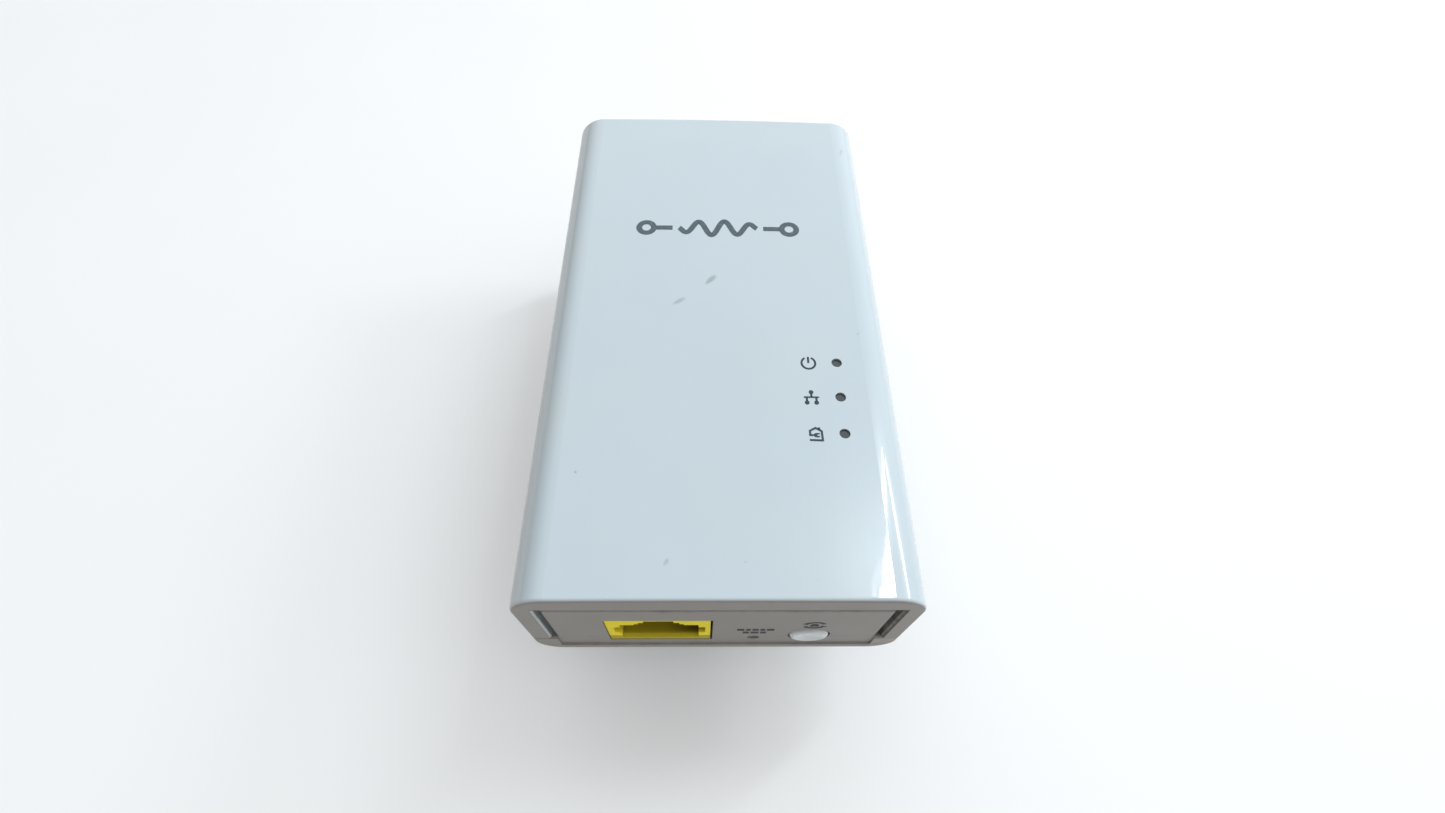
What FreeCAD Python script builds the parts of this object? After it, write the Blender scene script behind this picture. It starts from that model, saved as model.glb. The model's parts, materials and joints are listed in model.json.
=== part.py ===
import FreeCAD, Part
import os
import re
import Sketcher

# Powerline adapter: a plug-in box with a network socket and two push buttons in one end.
#
# Bench frame, used by every expression below, in millimetres: x to the right, y along the
# adapter from the port end, z up from the wall plane to the label face. Every node is then
# moved by -plug_from_port along y, so the finished origin is midway between the two mains
# blades, on the wall plane.

SIZES = {
    # casing
    "body_width": 58.0, "body_length": 101.2, "body_height": 27.0, "crown": 0.4,
    "seam_height": 6.4, "cover_corner": 5.5, "shell_corner": 4.5, "end_round": 0.6,
    "cover_wall": 2.2, "cover_top_wall": 2.4, "rim_depth": 3.2, "rim_half_width": 25.95,
    "rim_top": 22.4, "rim_corner": 0.6, "rim_bevel": 0.4, "seam_chamfer": 0.25,
    "plate_thick": 2.0, "shell_wall": 3.4, "lip_thick": 1.1, "lip_rise": 2.0,
    "fit_gap": 0.1, "panel_half_width": 25.05, "panel_top": 20.4, "panel_bottom": 2.2,
    "panel_inset": 0.35, "flange_start": 1.6, "flange_end": 3.4, "edge_break": 0.3,
    # case screws
    "screw_x": 22.6, "screw_from_end": 8.0, "well_radius": 3.4, "well_top": 6.5,
    "head_recess": 5.0, "head_radius": 2.5, "head_hole": 2.8, "shank_hole": 1.5,
    "boss_radius": 2.7, "pilot_radius": 1.25, "pilot_depth": 12.0, "shank_radius": 1.2,
    # port end
    "jack_x": -8.9, "jack_opening": 16.2, "jack_open_low": 4.4, "jack_open_high": 15.8,
    "jack_width": 15.9, "jack_side_gap": 0.2, "jack_face": 0.45, "jack_depth": 17.0, "cavity_half": 5.95,
    "cavity_low": 6.2, "cavity_high": 12.95, "cavity_depth": 13.6, "cavity_lead": 0.5,
    "button_x": 14.4, "button_z": 7.2, "button_radius": 3.1, "button_gap": 0.25,
    "button_proud": 0.05, "sync_travel": 0.5, "sync_switch_face": 7.6,
    "reset_x": 5.7, "reset_z": 5.6, "reset_hole": 1.0, "reset_pin": 0.75,
    "reset_sunk": 0.6, "reset_travel": 0.3, "reset_switch_face": 6.4,
    "notch_high_1": 13.5, "notch_high_2": 14.2, "notch_high_3": 15.1, "notch_half_1": 3.75,
    "notch_half_2": 3.1, "notch_half_3": 2.25, "notch_deep": 13.1, "notch_short": 10.0,
    "slot_low": 8.6, "slot_high": 11.6, "slot_depth": 4.0, "wire_pitch": 1.016,
    "wire_width": 0.4, "wire_back": 13.9, "wire_bend": 3.6, "wire_tip": 12.1,
    "button_dish": 0.35, "button_edge": 0.7, "button_rim": 0.8, "button_rim_thick": 0.9,
    "button_stem": 1.5, "stem_end": 6.2, "switch_depth": 3.4, "plunger_gap": 0.08,
    "switch_well": 1.3, "plunger_in": 0.9,
    # status lights
    "led_x": 19.2, "led_first": 25.7, "led_pitch": 6.62, "led_hole": 0.85,
    "pipe_radius": 0.8, "pipe_low": 6.4, "pipe_top": 26.45, "led_tall": 1.1,
    "bar_low": 20.0, "bar_thick": 1.6, "bar_half": 1.5, "bar_over": 2.0,
    "led_half_wide": 1.6, "led_half_deep": 0.8, "led_base": 0.5, "lens_half_wide": 1.0,
    "lens_half_deep": 0.7, "lens_start": 0.4,
    # boards
    "board_low": 2.9, "board_thick": 1.6, "main_start": 5.4, "main_end": 47.0, "power_low": 9.0,
    "power_start": 43.5, "power_end": 97.4, "board_half": 24.6, "board_neck": 19.2,
    "post_radius": 2.4, "post_x": 21.0, "post_near": 51.0, "post_far": 86.0,
    "rest_x": 22.0, "rest_near": 19.0, "rest_far": 44.0, "board_screw_hole": 1.1,
    "board_screw_shank": 1.0, "board_screw_head": 2.0, "board_screw_pilot": 1.05,
    "board_head_tall": 1.2, "link_pitch": 2.54, "link_pin": 0.64, "link_bar_x": -8.2,
    "link_bar_y": 43.9, "link_bar_wide": 16.4, "link_bar_deep": 2.5, "link_pin_y": 44.83,
    # heatsink, coupling transformer, fuse, choke and switching transformer
    "sink_x": -8.5, "sink_y": 24.5, "sink_side": 14.0, "sink_base_thick": 1.5,
    "sink_low": 2.0, "fin_pitch": 2.6, "fin_thick": 1.0, "fin_low": 3.4, "fin_tall": 6.0,
    "pad_thick": 0.8, "pad_low": 1.2, "coil_x": 13.0, "coil_y": 38.3, "coil_radius": 3.4,
    "fuse_x": 18.6, "fuse_y": 57.0, "fuse_lift": 2.6, "fuse_cap": 3.2, "fuse_radius": 2.6,
    "fuse_tube_y": 60.0, "fuse_tube": 10.0, "fuse_tube_radius": 2.3, "fuse_far": 69.8,
    "core_x": 0.0, "core_y": 82.3, "core_wide": 15.0, "core_deep": 13.4, "core_tall": 12.5,
    "window_edge": 2.5, "window_low": 2.5, "window_wide": 10.0, "window_tall": 7.5,
    "leg_x": 5.5, "leg_wide": 4.0, "winding_y": 81.4, "winding_deep": 15.2,
    "winding_gap": 0.1, "varistor_radius": 4.5, "varistor_thick": 2.6, "varistor_lift": 4.6,
    # mains plug, a standard three-pin pattern
    "plug_from_port": 68.0, "blade_spacing": 12.7, "blade_width": 6.35,
    "blade_thick": 1.5, "blade_out": 16.5, "blade_hole": 1.6, "blade_hole_out": 11.2,
    "tab_top": 12.2, "tab_width": 3.2, "earth_offset": 11.9, "earth_radius": 2.38,
    "earth_out": 20.0, "earth_stem": 1.6, "plug_base_half": 13.9, "plug_base_near": 18.0,
    "plug_base_far": 8.0, "plug_base_top": 7.5, "plug_base_flange": 1.6, "plug_slip": 0.05,
}
PLANES = {"XY_Plane": 1, "XZ_Plane": -1, "YZ_Plane": 1}
LED_NAMES = ("powerline_led", "network_led", "power_led")
WIRE_COUNT = 8
CHOKE_RADII = (4.2, 2.1)
PIN_COUNT = 6
FIN_COUNT = 6
# each chip's name: left x, near y, width, depth, height, legs on a side
CHIPS = {
    "powerline_chipset": ("-8", "25", "13", "13", "1.2", 0),
    "memory_chip": ("-21.5", "30", "6", "8", "0.9", 7),
    "flash_chip": ("9.2", "26", "4", "5", "1.4", 4),
    "clock_crystal": ("-20", "22.5", "5", "3.2", "1.1", 0),
    "ethernet_transformer": ("5.2", "12", "9", "12", "4.5", 8),
}
# each group of cans: centres, radius, height
CANS = {
    "bulk_capacitors": ([("-17.5", "76"), ("-8.5", "87.5")], "4.2", "12.5"),
    "output_capacitors": ([("5", "50"), ("12.5", "50")], "3.15", "11"),
    "output_inductor": ([("-9", "49.5")], "3.4", "7"),
}
# each boxed part on the mains board: left x, near y, width, depth, height
BLOCKS = {
    "x2_capacitor": ("-18", "55.5", "5.5", "13", "11"),
    "bridge_rectifier": ("9.5", "73", "7.5", "8", "3.4"),
    "optocoupler": ("-4", "62.5", "5", "6.5", "3.4"),
}
ALIAS = re.compile(r"\b(" + "|".join(SIZES) + r")\b")

doc = FreeCAD.newDocument("powerline_adapter")
sheet = doc.addObject("Spreadsheet::Sheet", "Sizes")
for row, (alias, value) in enumerate(SIZES.items(), start=1):
    sheet.set(f"A{row}", alias)
    sheet.set(f"B{row}", str(value))
    sheet.setAlias(f"B{row}", alias)
doc.recompute()
nodes = []


def bound(text):
    """The expression with every alias read from the sheet."""
    return ALIAS.sub(r"Sizes.\1", str(text))


def number(text):
    """The present value of an expression."""
    return float(sheet.evalExpression(bound(text)))


def node(part, label):
    """Keep a finished piece as a node with this name."""
    part.Label = label
    nodes.append(part)
    return part


class Drawing:
    """A sketch on one of a body's own origin planes, bound to the sheet point by point."""

    def __init__(self, body, name, plane, offset="0"):
        self.body, self.name, self.plane = body, name, plane
        role = [p for p in body.Origin.OriginFeatures if p.Role == plane][0]
        self.sketch = body.newObject("Sketcher::SketchObject", name)
        self.sketch.AttachmentSupport = (role, [""])
        self.sketch.MapMode = "FlatFace"
        self.sketch.setExpression("AttachmentOffset.Base.z", bound(f"{PLANES[plane]} * ({offset})"))

    def hold(self, kind, geometry, point, text):
        """Bind one distance or radius to an expression."""
        where = (geometry,) if point is None else (geometry, point)
        index = self.sketch.addConstraint(Sketcher.Constraint(kind, *where, number(text)))
        self.sketch.setExpression(f"Constraints[{index}]", bound(text))

    def outline(self, points, arcs=None):
        """A closed outline. arcs gives a segment's radius and the side of its centre:
        +1 when the centre is to the left of the way from its first point to its last."""
        arcs = arcs or {}
        first = self.sketch.GeometryCount
        starts = []
        for i, (x, y) in enumerate(points):
            a = FreeCAD.Vector(number(x), number(y), 0)
            x, y = points[(i + 1) % len(points)]
            b = FreeCAD.Vector(number(x), number(y), 0)
            if i in arcs:
                radius, side = number(arcs[i][0]), arcs[i][1]
                chord = b - a
                left = FreeCAD.Vector(-chord.y, chord.x, 0) / chord.Length
                rise = (radius ** 2 - (chord.Length / 2) ** 2) ** 0.5
                crest = (a + b) / 2 - left * side * (radius - rise)
                arc = Part.Arc(a, crest, b) if side > 0 else Part.Arc(b, crest, a)
                self.sketch.addGeometry(arc, False)
                starts.append((1, 2) if side > 0 else (2, 1))
            else:
                self.sketch.addGeometry(Part.LineSegment(a, b), False)
                starts.append((1, 2))
        count = len(points)
        for i in range(count):
            after = (i + 1) % count
            link = (first + i, starts[i][1], first + after, starts[after][0])
            self.sketch.addConstraint(Sketcher.Constraint("Coincident", *link))
            self.hold("DistanceX", first + i, starts[i][0], points[i][0])
            self.hold("DistanceY", first + i, starts[i][0], points[i][1])
            if i in arcs:
                self.hold("Radius", first + i, None, arcs[i][0])
        return self

    def box(self, x0, y0, x1, y1):
        """A rectangle between two corners."""
        return self.outline([(x0, y0), (x1, y0), (x1, y1), (x0, y1)])

    def circle(self, x, y, radius):
        """A circle about a point."""
        index = self.sketch.GeometryCount
        centre = FreeCAD.Vector(number(x), number(y), 0)
        up = FreeCAD.Vector(0, 0, 1)
        self.sketch.addGeometry(Part.Circle(centre, up, number(radius)), False)
        self.hold("DistanceX", index, 3, x)
        self.hold("DistanceY", index, 3, y)
        self.hold("Radius", index, None, radius)
        return self

    def pad(self, length, toward=1):
        """Add material from this plane towards the plus or minus side of its axis."""
        feature = self.body.newObject("PartDesign::Pad", self.name + "_pad")
        feature.Profile = self.sketch
        feature.Reversed = toward * PLANES[self.plane] < 0
        feature.setExpression("Length", bound(length))
        return feature

    def pocket(self, length, toward=1):
        """Take material away from this plane towards the plus or minus side of its axis."""
        feature = self.body.newObject("PartDesign::Pocket", self.name + "_pocket")
        feature.Profile = self.sketch
        feature.Reversed = toward * PLANES[self.plane] > 0
        feature.setExpression("Length", bound(length))
        return feature

    def revolve(self):
        """Turn this half outline once round the sketch's own upright axis."""
        feature = self.body.newObject("PartDesign::Revolution", self.name + "_turn")
        feature.Profile = self.sketch
        feature.ReferenceAxis = (self.sketch, ["V_Axis"])
        feature.Angle = 360
        return feature


def new_body(name, x="0", y="-plug_from_port", z="0"):
    """A PartDesign body whose own zero stands at the given place."""
    body = doc.addObject("PartDesign::Body", name)
    for axis, text in zip("xyz", (x, y, z)):
        body.setExpression(f"Placement.Base.{axis}", bound(text))
    return body


def middle(edge):
    """The point halfway along an edge."""
    return edge.valueAt((edge.FirstParameter + edge.LastParameter) / 2)


def round_edges(body, name, size, chosen, kind="Fillet"):
    """Fillet or chamfer the edges of the body's tip for which chosen(midpoint, direction) holds."""
    doc.recompute()
    found = []
    for i, edge in enumerate(body.Tip.Shape.Edges, start=1):
        ends = [v.Point for v in edge.Vertexes]
        way = (ends[-1] - ends[0]) if len(ends) > 1 else FreeCAD.Vector()
        if chosen(middle(edge), way):
            found.append(f"Edge{i}")
    assert found, f"no edges for {name}"
    before = body.Tip
    feature = body.newObject(f"PartDesign::{kind}", name)
    feature.Base = (before, found)
    feature.setExpression("Radius" if kind == "Fillet" else "Size", bound(size))
    return feature


def along(axis):
    """A test for edges parallel to an axis, such as 'y'."""
    others = [a for a in "xyz" if a != axis]
    return lambda way: way.Length > 1e-6 and all(abs(getattr(way, a)) < 1e-4 for a in others)


def near(value, text, slack=0.02):
    """Whether a coordinate lies at an expression's value."""
    return abs(value - number(text)) < slack


def place(part, x, y, z):
    """Bind a Part primitive's corner or centre to bench coordinates."""
    part.setExpression("Placement.Base.x", bound(x))
    part.setExpression("Placement.Base.y", bound(f"({y}) - plug_from_port"))
    part.setExpression("Placement.Base.z", bound(z))
    return part


def block(name, x, y, z, wide, deep, tall):
    """A box from its left, near, low corner."""
    part = doc.addObject("Part::Box", name)
    for prop, text in zip(("Length", "Width", "Height"), (wide, deep, tall)):
        part.setExpression(prop, bound(text))
    return place(part, x, y, z)


def rod(name, x, y, z, radius, length, axis="z"):
    """A cylinder from the centre of its first end along x, y or z."""
    part = doc.addObject("Part::Cylinder", name)
    part.setExpression("Radius", bound(radius))
    part.setExpression("Height", bound(length))
    turns = {"z": ((0, 0, 1), 0), "y": ((1, 0, 0), -90), "x": ((0, 1, 0), 90)}
    about, angle = turns[axis]
    part.Placement = FreeCAD.Placement(FreeCAD.Vector(), FreeCAD.Rotation(FreeCAD.Vector(*about), angle))
    return place(part, x, y, z)


def join(name, pieces):
    """One solid from touching pieces."""
    part = doc.addObject("Part::MultiFuse", name)
    part.Shapes = pieces
    part.Refine = True
    return part


def group(name, pieces):
    """Several separate solids kept as one node."""
    part = doc.addObject("Part::Compound", name)
    part.Links = pieces
    return part


def carve(name, base, tools):
    """The base with the tools taken out of it."""
    tool = tools[0] if len(tools) == 1 else join(name + "_tools", tools)
    part = doc.addObject("Part::Cut", name)
    part.Base, part.Tool = base, tool
    part.Refine = True
    return part


# ---- casing ----------------------------------------------------------------------------------

SCREW_PLACES = [
    (f"{side} * screw_x", at) for side in (-1, 1)
    for at in ("screw_from_end", "body_length - screw_from_end")
]
POST_PLACES = [(f"{side} * post_x", at) for side in (-1, 1) for at in ("post_near", "post_far")]
REST_PLACES = [(f"{side} * rest_x", at) for side in (-1, 1) for at in ("rest_near", "rest_far")]


def front_cover():
    """The glossy trough: label face and both long sides, open at both ends."""
    body = new_body("cover")
    shoulder = "body_height - crown"
    top_radius = "(body_width * body_width / 4 + crown * crown) / (2 * crown)"
    corners = [
        ("-body_width / 2", "seam_height"), ("body_width / 2", "seam_height"),
        ("body_width / 2", shoulder), ("-body_width / 2", shoulder),
    ]
    Drawing(body, "cover_section", "XZ_Plane").outline(corners, {2: (top_radius, 1)}).pad("body_length")
    is_y = along("y")
    round_edges(body, "top_rounds", "cover_corner", lambda p, w: is_y(w) and near(p.z, shoulder))
    round_edges(
        body, "end_rounds", "end_round",
        lambda p, w: (near(p.y, "0") or near(p.y, "body_length")) and p.z > number("seam_height") + 0.5
    )
    round_edges(
        body, "seam_bevel", "seam_chamfer",
        lambda p, w: is_y(w) and near(p.z, "seam_height"), kind="Chamfer"
    )
    rim = Drawing(body, "rim_opening", "XZ_Plane")
    rim.box("-rim_half_width", "seam_height - 1", "rim_half_width", "rim_top").pocket("body_length")
    round_edges(
        body, "rim_rounds", "rim_corner",
        lambda p, w: is_y(w) and near(p.z, "rim_top") and near(abs(p.x), "rim_half_width")
    )
    round_edges(
        body, "rim_bevels", "rim_bevel",
        lambda p, w: (near(p.y, "0") or near(p.y, "body_length"))
        and abs(p.x) < number("rim_half_width + 0.1")
        and number("seam_height + 0.5") < p.z < number("rim_top + 0.1"), kind="Chamfer"
    )
    inside = "body_width / 2 - cover_wall"
    ceiling = "body_height - cover_top_wall"
    hollow = Drawing(body, "hollow", "XY_Plane", "seam_height")
    hollow.box(f"-({inside})", "rim_depth", inside, "body_length - rim_depth")
    hollow.pocket(f"{ceiling} - seam_height")
    round_edges(
        body, "hollow_rounds", "cover_corner - cover_wall",
        lambda p, w: is_y(w) and near(p.z, ceiling) and near(abs(p.x), inside)
    )
    bosses = Drawing(body, "screw_bosses", "XY_Plane", "well_top + fit_gap")
    pilots = Drawing(body, "boss_pilots", "XY_Plane", "well_top + fit_gap")
    for x, y in SCREW_PLACES:
        bosses.circle(x, y, "boss_radius")
    bosses.pad(f"{ceiling} + 0.5 - well_top")
    for x, y in SCREW_PLACES:
        pilots.circle(x, y, "pilot_radius")
    pilots.pocket("pilot_depth")
    windows = Drawing(body, "led_windows", "XY_Plane", f"{ceiling} - 1")
    for i in range(len(LED_NAMES)):
        windows.circle("led_x", f"led_first + {i} * led_pitch", "led_hole")
    windows.pocket("cover_top_wall + 2")
    node(body, "front_cover")


def shell_end(body, name, face, inward):
    """One inset end wall: a wide flange behind the cover's rim and a raised panel in front of it.
    face is the y of the end face and inward the way into the adapter."""
    def at(depth):
        return f"{face} + {inward} * ({depth})"
    flange = Drawing(body, name + "_flange", "XZ_Plane", at("flange_start"))
    flange.box("-(rim_half_width - fit_gap)", "seam_height - 1", "rim_half_width - fit_gap",
               "rim_top - fit_gap")
    flange.pad("flange_end - flange_start", inward)
    is_x, is_y, is_z = along("x"), along("y"), along("z")
    round_edges(
        body, name + "_shoulders", "rim_corner",
        lambda p, w: is_y(w) and near(p.z, "rim_top - fit_gap")
        and abs(p.y - number(face)) < number("flange_end")
    )
    recess = Drawing(body, name + "_ledge", "XZ_Plane", face)
    recess.box("-panel_half_width", "panel_bottom", "panel_half_width", "seam_height + 1")
    recess.pocket("panel_inset", inward)
    panel = Drawing(body, name + "_panel", "XZ_Plane", at("panel_inset"))
    panel.box("-panel_half_width", "panel_bottom + 1", "panel_half_width", "panel_top")
    panel.pad("flange_start - panel_inset + 0.2", inward)
    round_edges(
        body, name + "_break", "edge_break",
        lambda p, w: near(p.y, at("panel_inset")) and (
            (is_x(w) and near(p.z, "panel_top")) or (is_z(w) and near(abs(p.x), "panel_half_width"))
            and p.z > number("seam_height"))
    )
    round_edges(
        body, name + "_foot", "panel_inset - 0.1",
        lambda p, w: is_x(w) and near(p.y, at("panel_inset")) and near(p.z, "panel_bottom")
    )


def rear_shell():
    """The matte tray: wall-side plate, low side walls and both end walls."""
    body = new_body("shell")
    section = Drawing(body, "shell_section", "XZ_Plane")
    section.box("-body_width / 2", "0", "body_width / 2", "seam_height").pad("body_length")
    is_y = along("y")
    round_edges(body, "shell_rounds", "shell_corner", lambda p, w: is_y(w) and near(p.z, "0"))
    round_edges(
        body, "shell_end_rounds", "end_round",
        lambda p, w: (near(p.y, "0") or near(p.y, "body_length")) and p.z < number("seam_height") - 0.3
    )
    round_edges(
        body, "shell_bevel", "seam_chamfer",
        lambda p, w: is_y(w) and near(p.z, "seam_height"), kind="Chamfer"
    )
    tray_half = "body_width / 2 - shell_wall"
    tray = Drawing(body, "tray", "XY_Plane", "seam_height")
    tray.box(f"-({tray_half})", "flange_end", tray_half, "body_length - flange_end")
    tray.pocket("seam_height - plate_thick", -1)
    lips = Drawing(body, "lips", "XY_Plane", "seam_height - 0.5")
    for side in (-1, 1):
        lips.box(f"{side} * ({tray_half})", "flange_end", f"{side} * ({tray_half} + lip_thick)",
                 "body_length - flange_end")
    lips.pad("lip_rise + 0.5")
    shell_end(body, "port_end", "0", 1)
    shell_end(body, "far_end", "body_length", -1)

    port = Drawing(body, "jack_opening", "XZ_Plane")
    port.box("jack_x - jack_opening / 2", "jack_open_low", "jack_x + jack_opening / 2", "jack_open_high")
    port.pocket("flange_end + 0.1")
    holes = Drawing(body, "button_holes", "XZ_Plane")
    holes.circle("button_x", "button_z", "button_radius + button_gap")
    holes.circle("reset_x", "reset_z", "reset_hole")
    holes.pocket("flange_end + 0.1")
    vents = Drawing(body, "far_vents", "XZ_Plane", "body_length")
    for i in range(11):
        vents.box(f"{i - 5} * 3.6 - 0.7", "8", f"{i - 5} * 3.6 + 0.7", "18")
    vents.pocket("flange_end + 0.1", -1)

    back_vents = Drawing(body, "back_vents", "XY_Plane")
    for side in (-1, 1):
        for i in range(5):
            low, high = f"83 + {i} * 2.8", f"84.3 + {i} * 2.8"
            back_vents.box(f"{side} * 3", low, f"{side} * 15", high)
    back_vents.pocket("plate_thick + 0.1")
    plug = Drawing(body, "plug_opening", "XY_Plane")
    plug.box("-(plug_base_half + fit_gap)", "plug_from_port - plug_base_near - fit_gap",
             "plug_base_half + fit_gap", "plug_from_port + plug_base_far + fit_gap")
    plug.pocket("plate_thick + 0.1")
    label = Drawing(body, "label_recess", "XY_Plane")
    label.box("-17.2", "13.8", "17.2", "38.2").pocket("0.25")

    wells = Drawing(body, "screw_wells", "XY_Plane", "plate_thick - 0.5")
    for x, y in SCREW_PLACES:
        wells.circle(x, y, "well_radius")
    wells.pad("well_top - plate_thick + 0.5")
    heads = Drawing(body, "head_recesses", "XY_Plane")
    shanks = Drawing(body, "shank_holes", "XY_Plane", "head_recess - 0.1")
    for x, y in SCREW_PLACES:
        heads.circle(x, y, "head_hole")
    heads.pocket("head_recess")
    for x, y in SCREW_PLACES:
        shanks.circle(x, y, "shank_hole")
    shanks.pocket("well_top - head_recess + 0.2")

    for name, places, top, pilot in (
        ("power_posts", POST_PLACES, "power_low", 6.0), ("main_rests", REST_PLACES, "board_low", 2.2),
    ):
        posts = Drawing(body, name, "XY_Plane", "plate_thick - 0.5")
        for x, y in places:
            posts.circle(x, y, "post_radius")
        posts.pad(f"{top} - plate_thick + 0.5")
        bores = Drawing(body, name + "_bores", "XY_Plane", top)
        for x, y in places:
            bores.circle(x, y, "board_screw_pilot")
        bores.pocket(pilot, -1)
    node(body, "rear_shell")


def case_screws():
    """Four self-tapping screws from the wall side, heads sunk in their wells."""
    screws = []
    for i, (x, y) in enumerate(SCREW_PLACES):
        head = rod(f"case_head_{i}", x, y, "head_recess - 1.8", "head_radius", "1.8")
        shank = rod(f"case_shank_{i}", x, y, "head_recess - 0.5", "shank_radius", "11")
        whole = join(f"case_screw_{i}", [head, shank])
        slots = [
            block(f"case_slot_{i}_0", f"{x} - 1.5", f"{y} - 0.3", "head_recess - 2", "3", "0.6", "1.1"),
            block(f"case_slot_{i}_1", f"{x} - 0.3", f"{y} - 1.5", "head_recess - 2", "0.6", "3", "1.1"),
        ]
        screws.append(carve(f"case_screw_slotted_{i}", whole, slots))
    node(group("case_screw_group", screws), "case_screws")


def rating_label():
    """A blank label sunk in the wall-side plate."""
    node(block("label_sheet", "-17", "14", "0.08", "34", "24", "0.15"), "rating_label")


# ---- mains plug ------------------------------------------------------------------------------

def plug_base():
    """The insulating block that carries the blades and the earth pin."""
    body = new_body("base")
    near_y, far_y = "plug_from_port - plug_base_near", "plug_from_port + plug_base_far"
    outline = Drawing(body, "base_block", "XY_Plane")
    outline.box("-plug_base_half", near_y, "plug_base_half", far_y).pad("plug_base_top")
    flange = Drawing(body, "base_flange", "XY_Plane", "plate_thick")
    flange.box("-(plug_base_half + plug_base_flange)", f"{near_y} - plug_base_flange",
               "plug_base_half + plug_base_flange", f"{far_y} + plug_base_flange").pad("1.4")
    slots = Drawing(body, "blade_slots", "XY_Plane")
    for side in (-1, 1):
        slots.box(f"{side} * blade_spacing / 2 - blade_thick / 2 - plug_slip",
                  "plug_from_port - blade_width / 2 - plug_slip",
                  f"{side} * blade_spacing / 2 + blade_thick / 2 + plug_slip",
                  "plug_from_port + blade_width / 2 + plug_slip")
    slots.circle("0", "plug_from_port - earth_offset", "earth_stem + plug_slip")
    slots.pocket("plug_base_top + 0.1")
    node(body, "plug_base")


def blade(label, side):
    """A flat mains blade with a detent hole, a bevelled tip and a solder tab."""
    body = new_body(label + "_body", f"{side} * blade_spacing / 2", "0")
    half, tab = "blade_width / 2", "tab_width / 2"
    points = [
        (f"-({half}) + 1", "-blade_out"), (f"{half} - 1", "-blade_out"), (half, "-blade_out + 1.6"),
        (half, "plug_base_top"), (tab, "plug_base_top"), (tab, "tab_top"), (f"-({tab})", "tab_top"),
        (f"-({tab})", "plug_base_top"), (f"-({half})", "plug_base_top"), (f"-({half})", "-blade_out + 1.6"),
    ]
    side_view = Drawing(body, label + "_side", "YZ_Plane", "-blade_thick / 2")
    side_view.outline(points).circle("0", "-blade_hole_out", "blade_hole").pad("blade_thick")
    tip = number("-blade_out")
    is_y = along("y")
    round_edges(body, label + "_tip", "0.4", lambda p, w: is_y(w) and abs(p.z - tip) < 0.01, "Chamfer")
    node(body, label)


def earth_pin():
    """The round earth pin: domed tip, shoulder on the wall plane and a thinner stem."""
    body = new_body("pin", "0", "-earth_offset")
    points = [
        ("0", "-earth_out"), ("earth_radius", "-earth_out + earth_radius"), ("earth_radius", "0"),
        ("earth_stem", "0"), ("earth_stem", "tab_top"), ("0", "tab_top"),
    ]
    Drawing(body, "pin_half", "XZ_Plane").outline(points, {0: ("earth_radius", 1)}).revolve()
    node(body, "earth_pin")


# ---- boards ----------------------------------------------------------------------------------

def boards():
    """The low signal board behind the ports and the raised mains board over the plug."""
    main = new_body("main")
    neck_end = "screw_from_end + 5"
    points = [
        ("-board_neck", "main_start"), ("board_neck", "main_start"),
        ("board_neck", neck_end), ("board_half", neck_end), ("board_half", "main_end"),
        ("-board_half", "main_end"), ("-board_half", neck_end), ("-board_neck", neck_end),
    ]
    sheet_main = Drawing(main, "main_outline", "XY_Plane", "board_low").outline(points)
    for x, y in REST_PLACES:
        sheet_main.circle(x, y, "board_screw_hole")
    sheet_main.pad("board_thick")
    node(main, "main_board")

    power = new_body("power")
    step = "body_length - screw_from_end - 5"
    points = [
        ("-board_half", "power_start"), ("board_half", "power_start"), ("board_half", step),
        ("board_neck", step), ("board_neck", "power_end"), ("-board_neck", "power_end"),
        ("-board_neck", step), ("-board_half", step),
    ]
    sheet_power = Drawing(power, "power_outline", "XY_Plane", "power_low").outline(points)
    for x, y in POST_PLACES:
        sheet_power.circle(x, y, "board_screw_hole")
    for side in (-1, 1):
        sheet_power.box(f"{side} * blade_spacing / 2 - blade_thick / 2 - 0.2",
                        "plug_from_port - tab_width / 2 - 0.2",
                        f"{side} * blade_spacing / 2 + blade_thick / 2 + 0.2",
                        "plug_from_port + tab_width / 2 + 0.2")
    sheet_power.circle("0", "plug_from_port - earth_offset", "earth_stem + 0.2")
    sheet_power.pad("board_thick")
    node(power, "power_board")


def board_screws(label, places, board_top, length):
    """Pan-head screws that hold one board on its posts."""
    screws = []
    for i, (x, y) in enumerate(places):
        head = rod(f"{label}_head_{i}", x, y, board_top, "board_screw_head", "board_head_tall")
        shank = rod(f"{label}_shank_{i}", x, y, f"{board_top} - {length}", "board_screw_shank", length)
        screws.append(join(f"{label}_{i}", [head, shank]))
    node(group(label + "_group", screws), label)


def board_link():
    """A six-way pin header that joins the two boards where one passes over the other."""
    gap = "power_low - board_low - board_thick"
    top = "board_low + board_thick"
    pieces = [block("link_bar", "link_bar_x", "link_bar_y", top, "link_bar_wide", "link_bar_deep", gap)]
    for i in range(PIN_COUNT):
        x = f"({i} - {(PIN_COUNT - 1) / 2}) * link_pitch - link_pin / 2"
        pieces.append(block(f"link_pin_{i}", x, "link_pin_y", top, "link_pin", "link_pin", f"{gap} - 0.001"))
    node(join("link", pieces), "board_link_header")


# ---- port end parts --------------------------------------------------------------------------

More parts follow.
